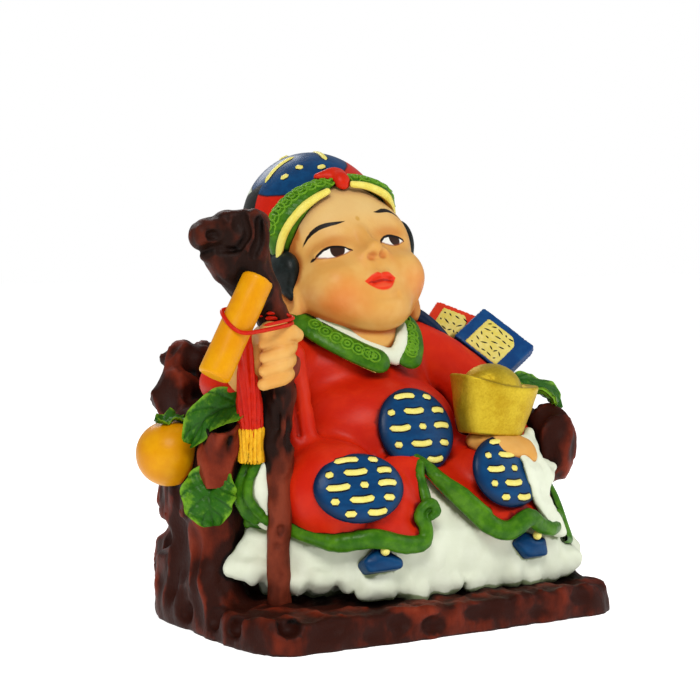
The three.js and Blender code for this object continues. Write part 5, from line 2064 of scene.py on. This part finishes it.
@dataclass(frozen=True)
class SkinPaint(Brushed):
    """Warm sprayed skin with an orange blush, painted shade in its hollows and by the nose, a painted
    highlight on the upper face, and the face painted on.
    """

    def build(self) -> bpy.types.Material:
        """Makes the material."""
        shader = Shader(self.name)
        x, y, z = (shader.data(key) for key in ("across", "ahead", "upward"))
        wide = x.size()
        soft = shader.noise(6, 2)
        grain = shader.noise(0.8, 3)
        colour = shader.mix(soft.step(0.3, 0.75) * 0.6, self.main, self.light)
        hollow = shader.data("hollow") * 1.6 + shader.data("crevice") * 0.6
        shade = (hollow + soft * 0.3 - 0.35).step(0.0, 0.9)
        colour = shader.mix(shade * 0.85, colour, self.dark)
        cheek = oval(wide - 13.0, z + 10.5, 8.0, 7.0)
        blush = (cheek + soft * 0.5).step(1.5, 0.1)
        colour = shader.mix(blush * 0.6, colour, Paint.BLUSH)
        front = (y + 5.0).step(0.5, -0.5)
        lid = oval(wide - 8.8, z - 5.6, 6.8, 2.6)
        # Painted highlight: the upper face is lighter where the light falls on it.
        colour = shader.mix(z.step(5.0, 14.0) * front * 0.55, colour, paint(228, 200, 138))
        colour = shader.mix((lid + soft * 0.3).step(1.3, 0.5) * 0.4 * front, colour, paint(206, 122, 54))
        colour = self.eyes(shader, colour, x, z, front)
        colour = self.mouth(shader, colour, x, z, front)
        behind = (y + soft * 2.0).step(10.0, 10.8) * (z + soft * 2.0).step(-11.0, -10.0)
        colour = shader.mix(behind, colour, Paint.HAIR)
        speck = oval(x - 0.4, z - 10.3, 1.0, 1.25)
        colour = shader.mix(speck.step(0.8, 0.3) * front * 0.6, colour, paint(196, 142, 44))
        return shader.finish(base_color=colour, roughness=0.34 + grain * 0.1,
                             normal=shader.bump(grain, 0.05), coat_weight=0.03, coat_roughness=0.25)

    def eyes(self, shader: Shader, colour: Value, x: Value, z: Value, front: Value) -> Value:
        """Paints the eyes and the brows.

        Args:
            shader: The material being built.
            colour: The skin's colour.
            x: The distance to the right of the face's middle line.
            z: The height up the face.
            front: 1 on the front of the head.

        Returns:
            The colour with eyes and brows.
        """
        wide = x.size()
        right = x.step(-0.1, 0.1)
        u = (wide - 10.0 + right * 1.2) / 4.65
        lean = u * (0.4 - right * 0.35) + right * 0.3
        upper = 4.25 - u * u * 1.85 + lean
        lower = 1.35 + u * u * 1.15 + lean
        inside = (upper - z).low(z - lower)
        white = inside.step(-0.1, 0.12) * front
        colour = shader.mix(white, colour, paint(240, 236, 226))
        iris = oval(wide - 8.9 - right, z - 2.95 - right * 0.35, 1.9, 1.85)
        dark = (1.0 - iris).low(inside + 0.1).step(-0.06, 0.06) * front
        colour = shader.mix(dark, colour, paint(48, 26, 16))
        line = (z - upper).size() + (u.size() - 0.98).high(0.0) * 9.0
        colour = shader.mix(line.step(0.48, 0.26) * front, colour, paint(20, 12, 10))
        under = (z - lower).size() + (u.size() - 0.95).high(0.0) * 8.0
        colour = shader.mix(under.step(0.35, 0.1) * front * 0.6, colour, paint(140, 66, 30))
        v = (wide - 8.7 - right * 3.2) / 5.6
        arch = 11.1 - v * v * 2.3 - v * v * v * 1.7 + right * 1.1
        thick = (1.0 - v * v) * 0.66 + 0.02
        brow = thick - (z - arch).size()
        return shader.mix(brow.step(-0.06, 0.08) * front * (1.0 - v.size()).step(0.0, 0.06), colour,
                          paint(26, 18, 14))

    def mouth(self, shader: Shader, colour: Value, x: Value, z: Value, front: Value) -> Value:
        """Paints the lips, and painted shade at the nostrils and beside the nose's wings.

        Args:
            shader: The material being built.
            colour: The skin's colour.
            x: The distance to the right of the face's middle line.
            z: The height up the face.
            front: 1 on the front of the head.

        Returns:
            The colour with the mouth and nose shaded.
        """
        side = (x + 1.6).size()
        w = side / 4.5
        up = z + 1.0 + x * 0.08
        top = up + 5.3 + w * w * 1.5 + (1.0 - side * 1.1).high(0.0) * 0.5
        low = up + 10.2 - w * w * 3.1
        lips = (0.0 - top).low(low)
        colour = shader.mix(lips.step(-0.3, 0.25) * front * 0.95, colour, Paint.LIPS)
        gap = ((up + 7.3 + w * w * 0.3) / 0.34) ** 2.0 + (side / 3.9) ** 4.0
        colour = shader.mix(gap.step(1.4, 0.5) * front * 0.75, colour, paint(150, 22, 10))
        full = ((up + 8.7) / 0.8) ** 2.0 + (side / 2.4) ** 2.0
        colour = shader.mix(full.step(1.5, 0.2) * front * 0.45, colour, paint(240, 112, 70))
        wide = x.size()
        # Painted shade: darker orange in the nostrils and beside the nose's wings.
        nose = oval(wide - 1.8, z + 1.5, 1.5, 0.9)
        colour = shader.mix(nose.step(1.5, 0.3) * front * 0.25, colour, paint(214, 104, 52))
        wing = oval(wide - 4.6, z + 1.6, 1.2, 2.6)
        return shader.mix(wing.step(1.5, 0.2) * front * 0.25, colour, paint(216, 130, 66))


@dataclass(frozen=True)
class Gilding(Brushed):
    """Grainy gold paint with a metallic sheen."""

    def build(self) -> bpy.types.Material:
        """Makes the material."""
        shader = Shader(self.name)
        grain = shader.noise(0.6, 4, 0.7)
        broad = shader.noise(7, 3)
        colour = shader.mix((grain * 0.6 + broad * 0.7).step(0.4, 0.9), self.main, self.light)
        colour = self.shade_and_wash_hollows(shader, colour, self.dark, 0.9)
        return shader.finish(base_color=colour, metallic=0.72, roughness=0.36 + grain * 0.16,
                             normal=shader.bump(grain, 0.12))


def finishes() -> dict[str, bpy.types.Material]:
    """Makes all the finishes by name."""
    green = (Paint.GREEN, Paint.GREEN_DARK, Paint.GREEN_LIGHT)
    bark = (Paint.BROWN, Paint.BROWN_DARK, Paint.BROWN_LIGHT)
    blue = (Paint.BLUE, Paint.BLUE_DARK, paint(10, 76, 126))
    kinds = {
        "bark": BarkPaint("bark_paint", *bark),
        "staffwood": BarkPaint("staff_paint", paint(32, 15, 9), Paint.BROWN_DARK, paint(94, 36, 20)),
        "fruit": Brushed("fruit_paint", Paint.ORANGE, Paint.ORANGE_DARK, paint(230, 166, 4),
                         0.34, 5, 0.7, 0.08),
        "leaf": LeafPaint("leaf_paint", paint(40, 94, 14), Paint.GREEN_DARK, paint(116, 166, 34)),
        "red": Brushed("robe_red", Paint.RED, Paint.RED_DARK, paint(218, 50, 14), 0.4, 6, 1.1, 0.1),
        "green": Brushed("hem_green", *green, 0.3, 3.2, 1.1, 0.1),
        "ring": Brushed("ring_green", paint(84, 138, 22), Paint.GREEN, paint(126, 178, 44),
                        0.3, 2, 0.6),
        "blue": Badge("badge_blue", *blue),
        "gold": Brushed("stroke_gold", Paint.GOLD, Paint.GOLD_DARK, paint(244, 236, 150),
                        0.34, 1, 0.3),
        "ink": Brushed("stroke_edge", Paint.INK_AND_SHADE, Paint.INK_AND_SHADE, paint(22, 26, 38), 0.4, 1, 0.8),
        "white": Brushed("skirt_white", Paint.WHITE, Paint.WHITE_DARK, paint(234, 239, 219),
                         0.42, 5, 1.2),
        "skin": SkinPaint("skin_paint", Paint.SKIN, Paint.SKIN_DARK, Paint.SKIN_LIGHT),
        "hair": Brushed("hair_black", Paint.HAIR, paint(10, 12, 12), paint(40, 50, 50), 0.34, 2, 0.8),
        "crown": CrownPaint("hat_crown", Paint.RED, Paint.RED_DARK, paint(222, 36, 14)),
        "trim": Brushed("trim_yellow", paint(230, 214, 86), paint(140, 96, 20), paint(242, 232, 128),
                        0.34, 2, 1.1),
        "bookred": Brushed("book_red", Paint.BOOK_RED, paint(110, 20, 10), paint(230, 70, 36),
                           0.38, 3, 0.9),
        "bookblue": Brushed("book_blue", paint(10, 60, 118), paint(5, 26, 58), paint(24, 84, 140),
                            0.38, 3, 1.0),
        "paper": Brushed("label_yellow", Paint.PAPER, paint(120, 96, 24), paint(240, 228, 150),
                         0.42, 1.2, 1),
        "cord": Brushed("cord_red", Paint.CORD, Paint.RED_DARK, paint(210, 42, 10), 0.3, 1.5, 1.2),
        "fringe": Brushed("fringe_yellow", paint(224, 160, 8), paint(140, 76, 6), paint(246, 200, 50),
                          0.36, 1, 1.1),
        "metal": Gilding("ingot_gold", paint(176, 141, 20), paint(92, 64, 8), paint(214, 188, 54)),
    }
    return {name: kind.build() for name, kind in kinds.items()}


# The studio

@dataclass(frozen=True)
class Studio:
    """The camera, a pale floor and soft lights, which aim at a place in metres."""

    eye: Point = (-254.2, -392.6, 94.0)
    heading: float = math.radians(32.5)
    dip: float = math.atan(103 / 1800)
    sensor: float = 36.0
    focal: float = sensor * 1800 / 700
    ambient: float = 0.36
    floor_half: float = 4000.0
    aim: Point = (0, 0, 0.055)

    def camera(self) -> None:
        """Adds the camera at the photograph's angle."""
        data = bpy.data.cameras.new("camera")
        data.sensor_width = self.sensor
        data.lens = self.focal
        data.clip_start = 0.01
        ahead = Vector((math.sin(self.heading) * math.cos(self.dip),
                        math.cos(self.heading) * math.cos(self.dip), -math.sin(self.dip)))
        camera = bpy.data.objects.new("camera", data)
        camera.location = Vector(np.array(self.eye) + MIDLINE) * METRES
        camera.rotation_euler = ahead.to_track_quat("-Z", "Y").to_euler()
        bpy.context.scene.collection.objects.link(camera)
        bpy.context.scene.camera = camera

    def floor(self) -> None:
        """Adds the floor."""
        grid = np.array([(x, y, 0.0) for y in BOTH for x in BOTH]) * self.floor_half
        mesh = net("floor", grid, np.array([(0, 1, 3, 2)]))
        shader = Shader("floor_white")
        cloudy = shader.noise(60, 2)
        pale = shader.mix(cloudy, (0.84, 0.84, 0.84), (0.88, 0.88, 0.88))
        mesh.materials.append(shader.finish(base_color=pale, roughness=0.8, emission_color=(1, 1, 1),
                                            emission_strength=0.7))
        floor = bpy.data.objects.new("floor", mesh)
        bpy.context.scene.collection.objects.link(floor)

    def lamp(self, name: str, place: Point, size: float, power: float, colour: Point) -> None:
        """Adds one soft lamp that faces the figure.

        Args:
            name: The lamp's name.
            place: Where it hangs, in millimetres.
            size: Its width in metres.
            power: Its power in watts.
            colour: Its colour.
        """
        data = bpy.data.lights.new(name, "AREA")
        data.shape = "DISK"
        data.size = size
        data.energy = power
        data.color = colour
        lamp = bpy.data.objects.new(name, data)
        lamp.location = Vector(place) * METRES
        aim = Vector(self.aim) - lamp.location
        lamp.rotation_euler = aim.to_track_quat("-Z", "Y").to_euler()
        bpy.context.scene.collection.objects.link(lamp)

    def build(self) -> None:
        """Sets up the whole studio."""
        bpy.context.scene.view_settings.view_transform = "Standard"
        self.camera()
        self.floor()
        self.lamp("key", (-260, -420, 520), 0.30, 2.35, (1.0, 0.98, 0.95))
        self.lamp("fill", (460, -260, 260), 0.35, 0.5, (0.97, 0.98, 1.0))
        self.lamp("rim", (60, 480, 420), 0.30, 1.0, (1.0, 1.0, 1.0))
        world = bpy.data.worlds.new("studio")
        world.use_nodes = True
        tree = world.node_tree
        back = tree.nodes["Background"]
        back.inputs["Color"].default_value = (1, 1, 1, 1)
        seen = tree.nodes.new("ShaderNodeLightPath")
        bright = tree.nodes.new("ShaderNodeMapRange")
        bright.inputs["To Min"].default_value = self.ambient
        bright.inputs["To Max"].default_value = 1.0
        tree.links.new(seen.outputs["Is Camera Ray"], bright.inputs["Value"])
        tree.links.new(bright.outputs["Result"], back.inputs["Strength"])
        bpy.context.scene.world = world


def main() -> None:
    """Builds the studio and then each casting, in order."""
    logging.basicConfig(level=logging.INFO, format="%(message)s")
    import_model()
    Studio().build()
    paints = finishes()
    figure = (
        RootThrone(), Fruit(), Foliage(), Robe(), Sleeves(), Skirt(), Hands(), Head(), Hat(), Collar(),
        Book((34, 15, 79.6), (7.2, -12, -4.8), (-10.4, -1.5, -11.9), 4.6, "bookred",
             (-4.4, 4.4, -5.6, 6.4)),
        Book((42, 4, 77.9), (8.5, -12.4, -10.7), (-11.2, -1, -7.8), 4.8, "bookblue",
             (-5.8, 5.2, -6.0, 4.6), 3),
    )
    for casting, parts in (
        (Casting("seated_figure_visual", "seated_figure", "painted_resin"), figure),
        (Casting("dragon_staff_visual", "dragon_staff", "staff_resin"), (Staff(),)),
        (Casting("gold_ingot_visual", "gold_ingot", "gold_paint"), (Ingot(),)),
    ):
        for part in parts:
            part.model(casting)
            LOG.info("%s modelled", type(part).__name__)
        casting.build(paints)
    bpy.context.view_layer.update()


if __name__ == "__main__":
    main()
